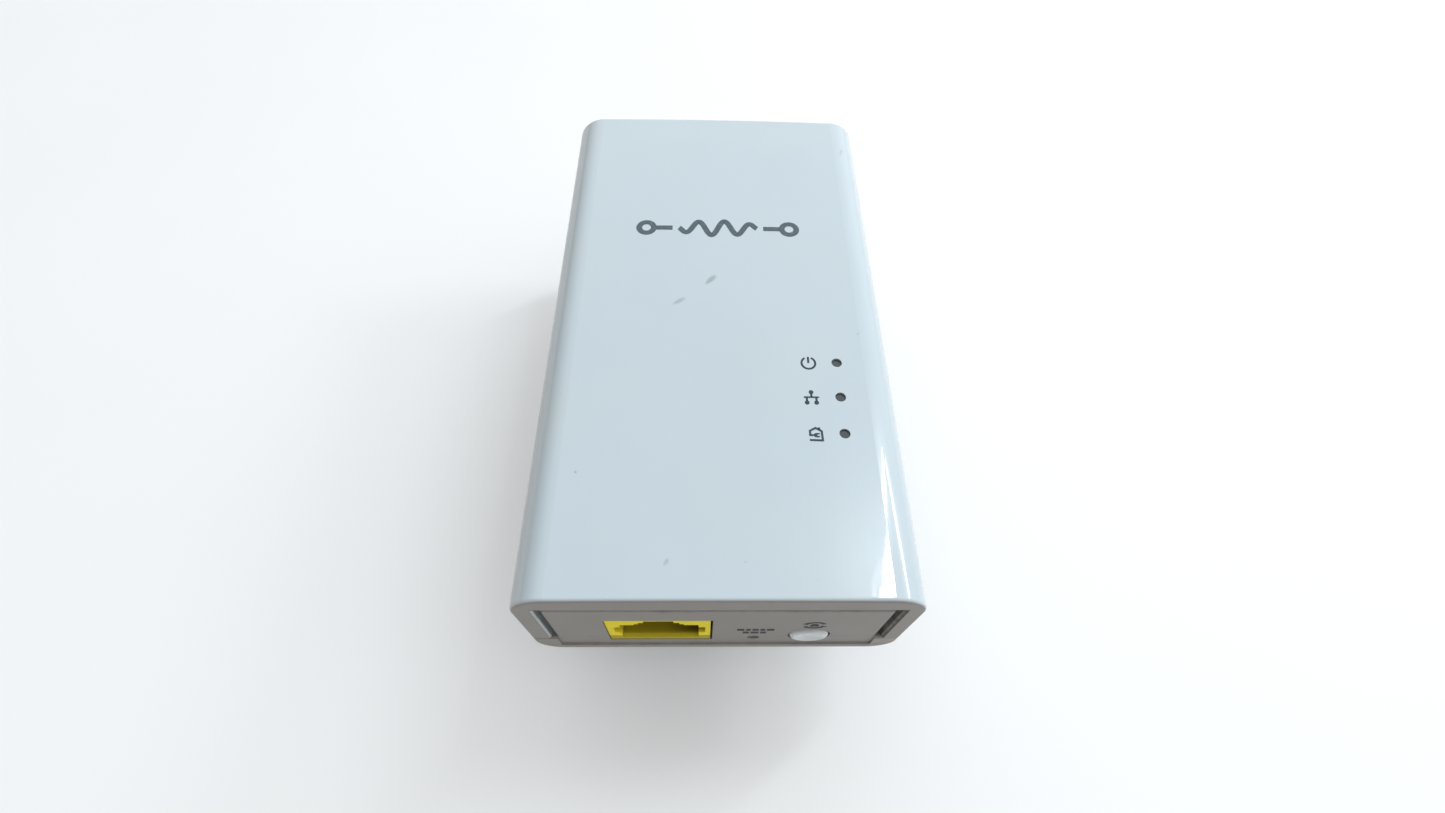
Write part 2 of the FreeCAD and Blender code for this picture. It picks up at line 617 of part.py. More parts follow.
def ethernet_jack():
    """The eight-way network socket: plug cavity, stepped latch notch and side slots."""
    body = new_body("jack")
    floor = "board_low + board_thick"
    shell = Drawing(body, "jack_block", "XZ_Plane", "jack_face")
    right = "jack_x + jack_width / 2 - jack_side_gap"
    shell.box("jack_x - jack_width / 2", floor, right, "jack_open_high - 0.15")
    shell.pad("jack_depth")
    cavity = Drawing(body, "plug_cavity", "XZ_Plane", "jack_face")
    cavity.box("jack_x - cavity_half", "cavity_low", "jack_x + cavity_half", "cavity_high")
    cavity.pocket("cavity_depth")
    low = "cavity_high - 0.1"
    for name, half, high, depth in (
        ("notch_wide", "notch_half_1", "notch_high_1", "notch_deep"),
        ("notch_middle", "notch_half_2", "notch_high_2", "notch_deep"),
        ("notch_narrow", "notch_half_3", "notch_high_3", "notch_short"),
    ):
        notch = Drawing(body, name, "XZ_Plane", "jack_face")
        notch.box(f"jack_x - {half}", low, f"jack_x + {half}", high).pocket(depth)
    for side in (-1, 1):
        slot = Drawing(body, "side_slot_left" if side < 0 else "side_slot_right", "XZ_Plane", "jack_face")
        inner = f"jack_x + {side} * (cavity_half - 0.1)"
        outer = f"jack_x + {side} * (cavity_half + 1)"
        slot.box(inner, "slot_low", outer, "slot_high").pocket("slot_depth")
    is_x = along("x")
    round_edges(
        body, "lead_in", "cavity_lead",
        lambda p, w: is_x(w) and near(p.y, "jack_face") and near(p.z, "cavity_low"), "Chamfer"
    )
    node(body, "ethernet_jack")


def jack_contacts():
    """Eight gilt spring wires that lie on the cavity's floor and spring back over it."""
    body = new_body("contacts")
    points = [
        ("wire_back", "cavity_low"), ("wire_bend + 0.3", "cavity_low"), ("wire_bend", "cavity_low + 0.3"),
        ("wire_tip - 0.1", "cavity_low + 2.3"), ("wire_tip", "cavity_low + 2"),
        ("wire_bend + 1.1", "cavity_low + 0.3"), ("wire_back", "cavity_low + 0.3"),
    ]
    first = "jack_x - 3.5 * wire_pitch - wire_width / 2"
    wire = Drawing(body, "wire_side", "YZ_Plane", first).outline(points).pad("wire_width")
    comb = body.newObject("PartDesign::LinearPattern", "wires")
    comb.Originals = [wire]
    comb.Direction = (wire.Profile[0], ["N_Axis"])
    comb.Length = (WIRE_COUNT - 1) * number("wire_pitch")
    comb.Occurrences = WIRE_COUNT
    body.Tip = comb
    node(body, "jack_contacts")


def sync_button():
    """The round push button: dished face, rim behind the panel and a stem to its switch."""
    body = new_body("button", "button_x", "-plug_from_port", "button_z")
    rim, flat = "flange_end + 0.35", "button_radius - button_edge"
    points = [
        ("0", "-button_proud + button_dish"), (flat, "-button_proud"),
        ("button_radius", "-button_proud + button_edge"), ("button_radius", rim),
        ("button_radius + button_rim", rim), ("button_radius + button_rim", f"{rim} + button_rim_thick"),
        ("button_stem", f"{rim} + button_rim_thick"), ("button_stem", "stem_end"), ("0", "stem_end"),
    ]
    dish = f"(({flat}) * ({flat}) + button_dish * button_dish) / (2 * button_dish)"
    half = Drawing(body, "button_half", "XY_Plane")
    half.outline(points, {0: (dish, -1), 1: ("button_edge", 1)}).revolve()
    node(body, "sync_button")


def side_switch(prefix, x, z, face, width, height, plunger, start, travel):
    """A side-push switch body with a bored front and its separate plunger."""
    floor = "board_low + board_thick"
    tall = f"{height} - ({floor})"
    case = block(prefix + "_case", f"{x} - {width} / 2", face, floor, width, "switch_depth", tall)
    deep = f"switch_well + {travel}"
    bore = rod(prefix + "_bore", x, f"{face} - 0.1", z, f"{plunger} + plunger_gap", deep, "y")
    node(carve(prefix + "_body", case, [bore]), prefix)
    length = f"{face} + plunger_in - ({start})"
    node(rod(prefix + "_push", x, start, z, plunger, length, "y"), prefix + "_plunger")


def light_guide():
    """Three clear pipes that carry the status lights to the label face, on one bridge bar."""
    body = new_body("guide")
    bar = Drawing(body, "guide_bar", "XY_Plane", "bar_low")
    end = "led_first + 2 * led_pitch + bar_over"
    bar.box("led_x - bar_half", "led_first - bar_over", "led_x + bar_half", end).pad("bar_thick")
    pipes = Drawing(body, "guide_pipes", "XY_Plane", "pipe_low")
    for i in range(len(LED_NAMES)):
        pipes.circle("led_x", f"led_first + {i} * led_pitch", "pipe_radius")
    pipes.pad("pipe_top - pipe_low")
    node(body, "light_guide")


def status_leds():
    """Three small surface-mount lamps under the light guide."""
    top = "board_low + board_thick"
    for i, label in enumerate(LED_NAMES):
        y = f"led_first + {i} * led_pitch"
        base = block(f"{label}_base", "led_x - led_half_wide", f"{y} - led_half_deep", top,
                     "2 * led_half_wide", "2 * led_half_deep", "led_base")
        lens = block(f"{label}_lens", "led_x - lens_half_wide", f"{y} - lens_half_deep", f"{top} + lens_start",
                     "2 * lens_half_wide", "2 * lens_half_deep", "led_tall - lens_start")
        node(join(f"{label}_lamp", [base, lens]), label)


# ---- signal board parts ----------------------------------------------------------------------

def chip(label, x, y, wide, deep, tall, legs=0):
    """A flat package, with gull-wing legs along two sides when legs is set."""
    top = "board_low + board_thick"
    if not legs:
        return node(block(label + "_case", x, y, top, wide, deep, tall), label)
    pieces = [block(label + "_case", x, y, f"{top} + 0.1", wide, deep, tall)]
    pitch = (number(deep) - 0.8) / (legs - 1)
    for i in range(legs):
        at = f"{y} + 0.2 + {i} * {pitch:.4f}"
        for side, edge in (("near", f"{x} - 0.9"), ("far", f"{x} + {wide} - 0.1")):
            pieces.append(block(f"{label}_{side}_leg_{i}", edge, at, top, "1", "0.4", "0.3"))
    return node(join(label + "_whole", pieces), label)


def signal_parts():
    """Everything on the low board behind the ports."""
    top = "board_low + board_thick"
    for label, (x, y, wide, deep, tall, legs) in CHIPS.items():
        chip(label, x, y, wide, deep, tall, legs)
    pad_side = "sink_side - 2"
    pad = block("pad_sheet", "sink_x + 1", "sink_y + 1", f"{top} + pad_low", pad_side, pad_side, "pad_thick")
    node(pad, "thermal_pad")
    base = block("sink_base", "sink_x", "sink_y", f"{top} + sink_low", "sink_side", "sink_side",
                 "sink_base_thick")
    fins = [
        block(f"sink_fin_{i}", f"sink_x + {i} * fin_pitch", "sink_y", f"{top} + fin_low", "fin_thick",
              "sink_side", "fin_tall")
        for i in range(FIN_COUNT)
    ]
    node(join("sink", [base] + fins), "heatsink")
    pot = block("coupler_core", "9", "34", top, "8", "8.6", "7")
    coil = rod("coupler_coil", "coil_x", "coil_y", f"{top} + 1.4", "coil_radius", "4.2")
    window = block("coupler_window", "8.9", "34.9", f"{top} + 1.2", "8.2", "6.8", "4.6")
    node(carve("coupler", pot, [window]), "coupling_transformer_core")
    node(coil, "coupling_transformer_coil")


# ---- mains board parts -----------------------------------------------------------------------

def can(label, places, radius, tall):
    """Upright electrolytic cans, one or several in a node."""
    top = "power_low + board_thick"
    cans = [rod(f"{label}_{i}", x, y, top, radius, tall) for i, (x, y) in enumerate(places)]
    node(cans[0] if len(cans) == 1 else group(label + "_group", cans), label)


def power_parts():
    """Everything on the raised mains board."""
    top = "power_low + board_thick"
    for label, (x, y, wide, deep, tall) in BLOCKS.items():
        node(block(label + "_case", x, y, top, wide, deep, tall), label)
    for label, (places, radius, tall) in CANS.items():
        can(label, places, radius, tall)
    disc = rod("varistor_disc", "12.6", "61.5", f"{top} + varistor_lift", "varistor_radius",
               "varistor_thick", "x")
    node(disc, "varistor")
    lift = f"{top} + fuse_lift"
    caps = [
        rod("fuse_cap_near", "fuse_x", "fuse_y", lift, "fuse_radius", "fuse_cap", "y"),
        rod("fuse_cap_far", "fuse_x", "fuse_far", lift, "fuse_radius", "fuse_cap", "y"),
        rod("fuse_body", "fuse_x", "fuse_tube_y", lift, "fuse_tube_radius", "fuse_tube", "y"),
    ]
    node(join("fuse_whole", caps), "fuse")
    ring = doc.addObject("Part::Torus", "choke_ring")
    ring.Radius1, ring.Radius2 = CHOKE_RADII
    node(place(ring, "-1.5", "75.6", f"{top} + {CHOKE_RADII[1]}"), "common_mode_choke")
    core = block("core_block", "core_x", "core_y", top, "core_wide", "core_deep", "core_tall")
    through = "core_deep + 0.2"
    windows = block("core_window", "core_x + window_edge", "core_y - 0.1", f"{top} + window_low",
                    "window_wide", through, "window_tall")
    middle_leg = block("core_leg", "leg_x", "core_y", f"{top} + window_low - 0.5", "leg_wide",
                       "core_deep", "window_tall + 1")
    node(join("core_whole", [carve("core_frame", core, [windows]), middle_leg]), "transformer_core")
    coil = block("winding_block", "core_x + window_edge + winding_gap", "winding_y",
                 f"{top} + window_low + winding_gap", "window_wide - 2 * winding_gap", "winding_deep",
                 "window_tall - 2 * winding_gap")
    hole = block("winding_hole", "leg_x - winding_gap", "core_y - 0.1", f"{top} + window_low",
                 "leg_wide + 2 * winding_gap", through, "window_tall")
    node(carve("winding_whole", coil, [hole]), "transformer_winding")


# ---- build -----------------------------------------------------------------------------------

front_cover()
rear_shell()
case_screws()
rating_label()
plug_base()
blade("line_blade", 1)
blade("neutral_blade", -1)
earth_pin()
boards()
board_screws("power_board_screws", POST_PLACES, "power_low + board_thick", "6.5")
board_screws("main_board_screws", REST_PLACES, "board_low + board_thick", "3.4")
board_link()
ethernet_jack()
jack_contacts()
sync_button()
side_switch("sync_switch", "button_x", "button_z", "sync_switch_face", "6.2", "12",
            "1.7", "stem_end", "sync_travel")
side_switch("reset_switch", "reset_x", "reset_z", "reset_switch_face", "4.4", "8.8",
            "reset_pin", "panel_inset + reset_sunk", "reset_travel")
light_guide()
status_leds()
signal_parts()
power_parts()
doc.recompute()

for item in doc.Objects:
    bad = {"Invalid", "Error"} & set(item.State)
    assert not bad, f"{item.Name} is {bad}"
    if item.TypeId == "PartDesign::Pocket":
        assert item.Shape.Volume < item.BaseFeature.Shape.Volume - 1e-3, f"{item.Name} cuts nothing"

os.makedirs("parts", exist_ok=True)
for part in nodes:
    shape = part.Shape
    assert not shape.isNull() and shape.isValid() and shape.Solids, f"{part.Label} has no valid solid"
    shape.exportStep(f"parts/{part.Label}.step")
    print(f"{part.Label:28s} {len(shape.Solids)} solid(s) {shape.Volume:10.2f} mm3")
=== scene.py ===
import json
import logging
import math
from dataclasses import dataclass, field
from enum import Enum
from typing import Callable, Optional, Sequence, Union

import bpy
import numpy as np
from mathutils import Matrix, Vector


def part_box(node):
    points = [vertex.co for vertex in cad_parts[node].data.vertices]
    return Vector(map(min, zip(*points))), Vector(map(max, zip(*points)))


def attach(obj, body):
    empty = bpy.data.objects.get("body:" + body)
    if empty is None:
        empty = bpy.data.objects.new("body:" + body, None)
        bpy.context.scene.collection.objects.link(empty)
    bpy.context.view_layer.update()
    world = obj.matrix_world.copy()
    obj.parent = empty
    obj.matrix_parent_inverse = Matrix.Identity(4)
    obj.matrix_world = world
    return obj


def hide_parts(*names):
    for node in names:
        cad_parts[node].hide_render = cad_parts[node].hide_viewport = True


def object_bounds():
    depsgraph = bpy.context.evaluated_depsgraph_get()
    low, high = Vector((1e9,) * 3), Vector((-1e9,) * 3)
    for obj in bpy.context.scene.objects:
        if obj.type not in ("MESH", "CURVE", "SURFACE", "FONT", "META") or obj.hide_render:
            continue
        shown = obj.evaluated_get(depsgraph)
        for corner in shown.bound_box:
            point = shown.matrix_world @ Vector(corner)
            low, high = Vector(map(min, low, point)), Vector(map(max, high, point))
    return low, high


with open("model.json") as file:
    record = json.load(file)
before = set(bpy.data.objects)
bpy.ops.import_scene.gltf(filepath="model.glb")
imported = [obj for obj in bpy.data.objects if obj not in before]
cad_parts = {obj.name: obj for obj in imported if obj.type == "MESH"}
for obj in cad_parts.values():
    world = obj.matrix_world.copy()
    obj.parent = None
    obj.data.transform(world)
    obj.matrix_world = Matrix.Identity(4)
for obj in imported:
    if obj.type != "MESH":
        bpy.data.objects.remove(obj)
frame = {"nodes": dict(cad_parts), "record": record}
CAD_BOX = [[float(v) for v in corner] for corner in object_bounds()]

LOG = logging.getLogger("powerline_adapter")
MM = 0.001
CASING = "casing"
SMOOTH_UNDER = 35.0
Number = Union[float, "Level"]
Colour = tuple[float, float, float]
Triple = tuple[float, float, float]
Band = tuple[float, float]
Feed = Union[float, Triple, bpy.types.NodeSocket, "Level"]


# ---- shader wiring ---------------------------------------------------------------------------

class Level:
    """One number socket of a shader, so that masks can be written as ordinary arithmetic."""

    def __init__(self, graph: "Graph", socket: bpy.types.NodeSocket) -> None:
        """Wrap a socket of this graph."""
        self.graph, self.socket = graph, socket

    def _maths(self, operation: str, first: Number, second: Optional[Number] = None) -> "Level":
        """Add one Math node.

        Args:
            operation: the Math node's operation.
            first: the left value.
            second: the right value, if the operation has one.

        Returns:
            The node's result.
        """
        values = {0: first} if second is None else {0: first, 1: second}
        made = self.graph.node("Math", {"operation": operation}, values)
        return Level(self.graph, made.outputs[0])

    def __add__(self, other: Number) -> "Level":
        """Sum."""
        return self._maths("ADD", self, other)

    def __sub__(self, other: Number) -> "Level":
        """Difference."""
        return self._maths("SUBTRACT", self, other)

    def __rsub__(self, other: Number) -> "Level":
        """Difference from a plain number."""
        return self._maths("SUBTRACT", other, self)

    def __mul__(self, other: Number) -> "Level":
        """Product."""
        return self._maths("MULTIPLY", self, other)

    def __truediv__(self, other: Number) -> "Level":
        """Quotient."""
        return self._maths("DIVIDE", self, other)

    def __rtruediv__(self, other: Number) -> "Level":
        """A plain number over this value."""
        return self._maths("DIVIDE", other, self)

    def __abs__(self) -> "Level":
        """Size without sign."""
        return self._maths("ABSOLUTE", self)

    __radd__ = __add__
    __rmul__ = __mul__

    def most(self, other: Number) -> "Level":
        """The larger of two values."""
        return self._maths("MAXIMUM", self, other)

    def wave(self) -> "Level":
        """The sine of the value."""
        return self._maths("SINE", self)

    def step(self, low: float, high: float) -> "Level":
        """A smooth climb from 0 at low to 1 at high; low above high makes it fall."""
        values = {"Value": self, "From Min": low, "From Max": high}
        made = self.graph.node("MapRange", {"interpolation_type": "SMOOTHSTEP"}, values)
        return Level(self.graph, made.outputs[0])


class Graph:
    """A node tree and the one way in which nodes are added to it."""

    def __init__(self, tree: bpy.types.NodeTree) -> None:
        """Take a tree and empty it."""
        self.tree = tree
        self.tree.nodes.clear()

    def node(self, kind: str, settings: Optional[dict[str, str]] = None,
             values: Optional[dict[Union[int, str], Feed]] = None) -> bpy.types.Node:
        """Add a node.

        Args:
            kind: the node's type without its ShaderNode prefix.
            settings: properties that are set first.
            values: a number, colour, socket or Level for each input, by name or number.

        Returns:
            The node.
        """
        made = self.tree.nodes.new("ShaderNode" + kind)
        for key, setting in (settings or {}).items():
            setattr(made, key, setting)
        for key, value in (values or {}).items():
            target = made.inputs[key]
            if isinstance(value, Level):
                self.tree.links.new(value.socket, target)
            elif isinstance(value, bpy.types.NodeSocket):
                self.tree.links.new(value, target)
            elif isinstance(value, tuple) and target.type == "RGBA":
                target.default_value = (*value, 1.0)
            else:
                target.default_value = value
        return made

    def mix(self, amount: Number, base: Feed, other: Feed) -> bpy.types.NodeSocket:
        """Blend from one colour to another."""
        settings = {"data_type": "RGBA"}
        return self.node("Mix", settings, {0: amount, 6: base, 7: other}).outputs[2]


class Wiring(Graph):
    """The node tree of one material, read in millimetres of the object's own coordinates."""

    def __init__(self, name: str) -> None:
        """Start an empty material.

        Args:
            name: the material's name.
        """
        self.material = bpy.data.materials.new(name)
        self.material.use_nodes = True
        super().__init__(self.material.node_tree)
        place = self.node("TexCoord").outputs["Object"]
        scale = {0: place, "Scale": 1.0 / MM}
        self.mm = self.node("VectorMath", {"operation": "SCALE"}, scale).outputs[0]
        parts = self.node("SeparateXYZ", {}, {0: self.mm})
        self.x, self.y, self.z = (Level(self, parts.outputs[i]) for i in range(3))

    def stretched(self, by: Triple) -> bpy.types.NodeSocket:
        """The coordinates in millimetres, multiplied along each axis."""
        return self.node("VectorMath", {"operation": "MULTIPLY"}, {0: self.mm, 1: by}).outputs[0]

    def noise(self, size: float, detail: float = 2.0, stretch: Triple = (1.0, 1.0, 1.0)) -> Level:
        """Soft cloudy noise from 0 to 1.

        Args:
            size: the width of one blotch in millimetres.
            detail: how many finer layers it has.
            stretch: a factor on each axis; above 1 makes blotches narrower that way.

        Returns:
            The noise as a level.
        """
        values = {"Vector": self.stretched(stretch), "Scale": 1.0 / size, "Detail": detail}
        return Level(self, self.node("TexNoise", {}, values).outputs[0])

    def cells(self, size: float, stretch: Triple = (1.0, 1.0, 1.0),
              settings: Optional[dict[str, str]] = None) -> Level:
        """The distance to the nearest point of a random scatter, in cell widths.

        Args:
            size: the width of one cell in millimetres.
            stretch: a factor on each axis.
            settings: the pattern's own settings, such as the feature it measures.

        Returns:
            The distance as a level.
        """
        values = {"Vector": self.stretched(stretch), "Scale": 1.0 / size}
        return Level(self, self.node("TexVoronoi", settings, values).outputs["Distance"])

    def bump(self, height: Level, depth_mm: float,
             under: Optional[bpy.types.NodeSocket] = None) -> bpy.types.NodeSocket:
        """A normal pushed by a height.

        Args:
            height: the height, 0 to 1.
            depth_mm: the height of 1, in millimetres.
            under: a normal that this one adds to.

        Returns:
            The normal socket.
        """
        values = {"Height": height, "Distance": depth_mm * MM, "Strength": 1.0}
        if under is not None:
            values["Normal"] = under
        return self.node("Bump", {}, values).outputs[0]

    def finish(self, values: dict[str, Feed]) -> bpy.types.Material:
        """End in a Principled shader with these inputs.

        Args:
            values: the shader's inputs by name.

        Returns:
            The finished material.
        """
        shader = self.node("BsdfPrincipled", {}, values)
        self.node("OutputMaterial", {}, {"Surface": shader.outputs[0]})
        return self.material


# ---- finishes --------------------------------------------------------------------------------
# A Band is the pair of values between which a mask climbs from 0 to 1. Sizes and places are in
# millimetres, amounts and ramps run from 0 to 1.

@dataclass(frozen=True)
class Plastic:
    """Moulded plastic: a main colour with faint cloudiness, a moulded grain and handling marks."""

    name: str
    colour: Colour
    cloud: Colour
    roughness: float
    cloud_amount: float = 0.25
    cloud_size: float = 9.0
    cloud_ramp: Band = (0.35, 0.75)
    grain_size: float = 0.22
    grain_depth: float = 0.004
    coat: float = 0.0
    coat_roughness: float = 0.04
    ior: float = 1.49
    speck: float = 0.15
    speck_size: float = 1.7
    speck_ramp: Band = (0.09, 0.04)
    speck_patch: float = 5.0
    speck_patch_ramp: Band = (0.5, 0.62)
    speck_darkness: float = 0.45
    smudge_size: float = 6.0
    smudge_stretch: Triple = (1.0, 0.5, 1.0)
    smudge_dulling: float = 0.12

    def shade(self, w: Wiring) -> tuple[bpy.types.NodeSocket, Level, bpy.types.NodeSocket]:
        """Work out the varying inputs.

        Args:
            w: the wiring to add to.

        Returns:
            The colour, roughness and normal.
        """
        clouds = w.noise(self.cloud_size, 3.0).step(*self.cloud_ramp)
        colour = w.mix(clouds * self.cloud_amount, self.colour, self.cloud)
        patches = w.noise(self.speck_patch).step(*self.speck_patch_ramp)
        specks = w.cells(self.speck_size).step(*self.speck_ramp) * patches
        dark = tuple(c * self.speck_darkness for c in self.colour)
        colour = w.mix(specks * self.speck, colour, dark)
        smudge = w.noise(self.smudge_size, 4.0, self.smudge_stretch)
        roughness = smudge * self.smudge_dulling + (self.roughness - self.smudge_dulling / 2)
        grain = w.noise(self.grain_size, 2.0)
        return colour, roughness, w.bump(grain, self.grain_depth)

    def build(self) -> bpy.types.Material:
        """Make the material."""
        w = Wiring(self.name)
        colour, roughness, normal = self.shade(w)
        return w.finish({
            "Base Color": colour, "Roughness": roughness, "Normal": normal,
            "Coat Weight": self.coat, "Coat Roughness": self.coat_roughness, "IOR": self.ior,
        })


@dataclass(frozen=True)
class SocketFinish(Plastic):
    """The network socket: yellow at its face, with painted shade browner inside, to the right and on its
    lower ledge.
    """

    ior: float = 1.12
    # painted shade colour for the inside, the right side and the lower ledge
    deep_shade: Colour = (0.15, 0.105, 0.008)
    inside_from: Band = (-67.5, -66.4)
    inside_amount: float = 0.5
    right_from: Band = (-9.0, -4.0)
    right_amount: float = 0.45
    ledge_top: Band = (6.95, 6.5)
    ledge_bottom: Band = (4.4, 4.6)
    ledge_amount: float = 0.55

    def build(self) -> bpy.types.Material:
        """Make the material."""
        w = Wiring(self.name)
        colour, roughness, normal = self.shade(w)
        # painted shade: darker further in, more so to the right, and on the lower ledge
        share = w.x.step(*self.right_from) * self.right_amount + self.inside_amount
        colour = w.mix(w.y.step(*self.inside_from) * share, colour, self.deep_shade)
        ledge = w.z.step(*self.ledge_top) * w.z.step(*self.ledge_bottom)
        colour = w.mix(ledge * self.ledge_amount, colour, self.deep_shade)
        return w.finish({
            "Base Color": colour, "Roughness": roughness, "Normal": normal, "IOR": self.ior,
        })


@dataclass(frozen=True)
class Scuff:
    """One rubbed mark on the label face, in millimetres from the plug's centre."""

    x: float
    y: float
    angle: float
    length: float
    width: float
    depth: float
    taper: float = 0.25
    thinnest: float = 0.3
    edge: Band = (1.0, 0.2)
    break_size: float = 0.35
    break_amount: float = 0.7
    least: float = 0.5

    def mask(self, w: Wiring) -> Level:
        """A soft-edged lozenge, strongest at one end, broken up by fine noise.

        Formula: with u along the mark and v across it, each 1 at the mark's edge,
        the mask falls from 1 to 0 as u*u + v*v climbs from 0.2 to 1, with v widened
        towards the far end.
        """
        cos, sin = math.cos(self.angle), math.sin(self.angle)
        dx, dy = w.x - self.x, w.y - self.y
        u = (dx * cos + dy * sin) / self.length
        v = (dy * cos - dx * sin) / self.width
        spread = (u * self.taper + 1.0).most(self.thinnest)
        body = (u * u + (v / spread) * (v / spread)).step(*self.edge)
        broken = w.noise(self.break_size, 3.0) * self.break_amount + self.least
        return body * broken * self.depth


@dataclass(frozen=True)
class CoverFinish(Plastic):
    """The polished cover: glossy, pale blue-white, with yellowed patches, scuffs and hairlines.

    Its port end is painted a much darker, browner grey than its sides as painted shade, and the
    rounding of its left long edge carries a weaker painted shade.
    """

    coat_roughness: float = 0.03
    ior: float = 1.5
    scuffs: tuple[Scuff, ...] = ()
    scuff_colour: Colour = (0.30, 0.33, 0.35)
    scuff_dulling: float = 0.35
    yellow: Colour = (0.53, 0.57, 0.55)
    yellow_size: float = 24.0
    yellow_ramp: Band = (0.48, 0.78)
    yellow_amount: float = 0.22
    yellow_dulling: float = 0.03
    hair_size: float = 0.5
    hair_stretch: Triple = (3.5, 0.18, 1.0)
    hair_ramp: Band = (0.70, 0.78)
    hair_patch: float = 14.0
    hair_patch_ramp: Band = (0.5, 0.65)
    hair_dulling: float = 0.18
    hair_depth: float = 0.002
    port_edge: float = -68.0
    far_edge: float = 33.2
    wear_reach: Band = (1.3, 0.1)
    wear_size: float = 1.6
    wear_ramp: Band = (0.4, 0.75)
    wear_amount: float = 0.25
    worn: Colour = (0.60, 0.58, 0.54)
    cut_reach: Band = (0.32, 0.06)
    cut_end: Colour = (0.49, 0.51, 0.52)
    cut_end_amount: float = 0.9
    # painted shade: the port end faces are darkened to this browner grey
    port_end: Colour = (0.265, 0.24, 0.22)
    port_end_amount: float = 0.95
    cut_dulling: float = 0.3
    # painted shade along the rounding of the left long edge, set by the flank fields below
    shaded: Colour = (0.155, 0.115, 0.09)
    flank_across: Band = (-25.8, -28.5)
    flank_up: Band = (20.5, 24.5)
    flank_amount: float = 0.42
    flank_dulling: float = 0.2
    flank_coat_loss: float = 0.5
    # dirt and painted shade in the grooves beside the port panel, heavier on the right where the groove lies
    # in shade
    slot_dirt_and_shade: Colour = (0.09, 0.07, 0.05)
    slot_left: tuple[Band, Band] = ((-26.15, -25.97), (-25.0, -25.5))
    slot_right: tuple[Band, Band] = ((26.5, 26.3), (25.0, 25.5))
    slot_left_share: float = 0.6
    slot_under: Band = (23.2, 22.6)
    slot_size: float = 1.8
    slot_ramp: Band = (0.2, 0.6)
    slot_amount: float = 0.4
    slot_least: float = 0.5
    slot_dulling: float = 0.4
    dull_slope: float = 0.24
    dull_edge: float = 22.0
    dull_size: float = 0.8
    dull_ragged: float = 1.6
    dull_ramp: Band = (0.15, -0.15)
    dull_across: Band = (19.5, 21.0)
    dull_along: Band = (13.0, 10.0)
    dull_coat_loss: float = 0.9

    def ends(self, w: Wiring, reach: Band) -> tuple[Level, Level]:
        """Masks that climb to 1 at the port end and at the far end."""
        return (w.y - self.port_edge).step(*reach), (self.far_edge - w.y).step(*reach)

    def hairlines(self, w: Wiring) -> Level:
        """Fine polishing lines along the adapter, in patches."""
        lines = w.noise(self.hair_size, 2.0, self.hair_stretch).step(*self.hair_ramp)
        return lines * w.noise(self.hair_patch).step(*self.hair_patch_ramp)

    def slots(self, w: Wiring) -> Level:
        """The grooves beside the port panel, the left one fainter: dirt and painted shade."""
        left = w.x.step(*self.slot_left[0]) * w.x.step(*self.slot_left[1])
        right = w.x.step(*self.slot_right[0]) * w.x.step(*self.slot_right[1])
        return (left * self.slot_left_share).most(right) * w.z.step(*self.slot_under)

    def dulled(self, w: Wiring) -> Level:
        """A ragged dull stretch of the face near the right port corner.

        Formula: the stretch ends where x falls under a line that slopes outwards with the
        distance from the port end, moved to and fro by noise.
        """
        inward = w.y - self.port_edge
        line_side = w.x - inward * self.dull_slope - self.dull_edge
        ragged = line_side + w.noise(self.dull_size, 4.0) * self.dull_ragged
        return ragged.step(*self.dull_ramp) * w.x.step(*self.dull_across) * inward.step(*self.dull_along)

    def build(self) -> bpy.types.Material:
        """Make the material."""
        w = Wiring(self.name)
        colour, roughness, normal = self.shade(w)
        yellowed = w.noise(self.yellow_size, 2.0).step(*self.yellow_ramp)
        colour = w.mix(yellowed * self.yellow_amount, colour, self.yellow)
        rubbed_and_highlight = self.scuffs[0].mask(w)
        for scuff in self.scuffs[1:]:
            rubbed_and_highlight = rubbed_and_highlight.most(scuff.mask(w))
        colour = w.mix(rubbed_and_highlight, colour, self.scuff_colour)
        hair = self.hairlines(w)
        roughness = roughness + rubbed_and_highlight * self.scuff_dulling + hair * self.hair_dulling
        roughness = roughness + yellowed * self.yellow_dulling
        port, far = self.ends(w, self.wear_reach)
        wear = port.most(far) * w.noise(self.wear_size, 4.0).step(*self.wear_ramp)
        colour = w.mix(wear * self.wear_amount, colour, self.worn)
        port, far = self.ends(w, self.cut_reach)
        cut = port.most(far)
        colour = w.mix(far * self.cut_end_amount, colour, self.cut_end)
        # painted shade: the port end faces are darkened to a browner grey
        colour = w.mix(port * self.port_end_amount, colour, self.port_end)
        # painted shade: the rounding of the left long edge is darkened, dulled and loses some coat
        flank = w.x.step(*self.flank_across) * w.z.step(*self.flank_up) * (1.0 - cut)
        colour = w.mix(flank * self.flank_amount, colour, self.shaded)
        # dirt and painted shade: the grooves darken in patches, the right one more
        slot = self.slots(w)
        dirt_and_shade = w.noise(self.slot_size, 3.0).step(*self.slot_ramp) * self.slot_amount + self.slot_least
        colour = w.mix(slot * dirt_and_shade, colour, self.slot_dirt_and_shade)
        roughness = roughness + cut * self.cut_dulling + flank * self.flank_dulling
        coat = (1.0 - rubbed_and_highlight) * (1.0 - cut) * (1.0 - flank * self.flank_coat_loss)
        coat = coat * (1.0 - slot) * (1.0 - self.dulled(w) * self.dull_coat_loss)
        return w.finish({
            "Base Color": colour, "Roughness": roughness + slot * self.slot_dulling,
            "Normal": w.bump(hair, self.hair_depth, normal), "Coat Weight": coat,
            "Coat Roughness": self.coat_roughness, "IOR": self.ior,
        })


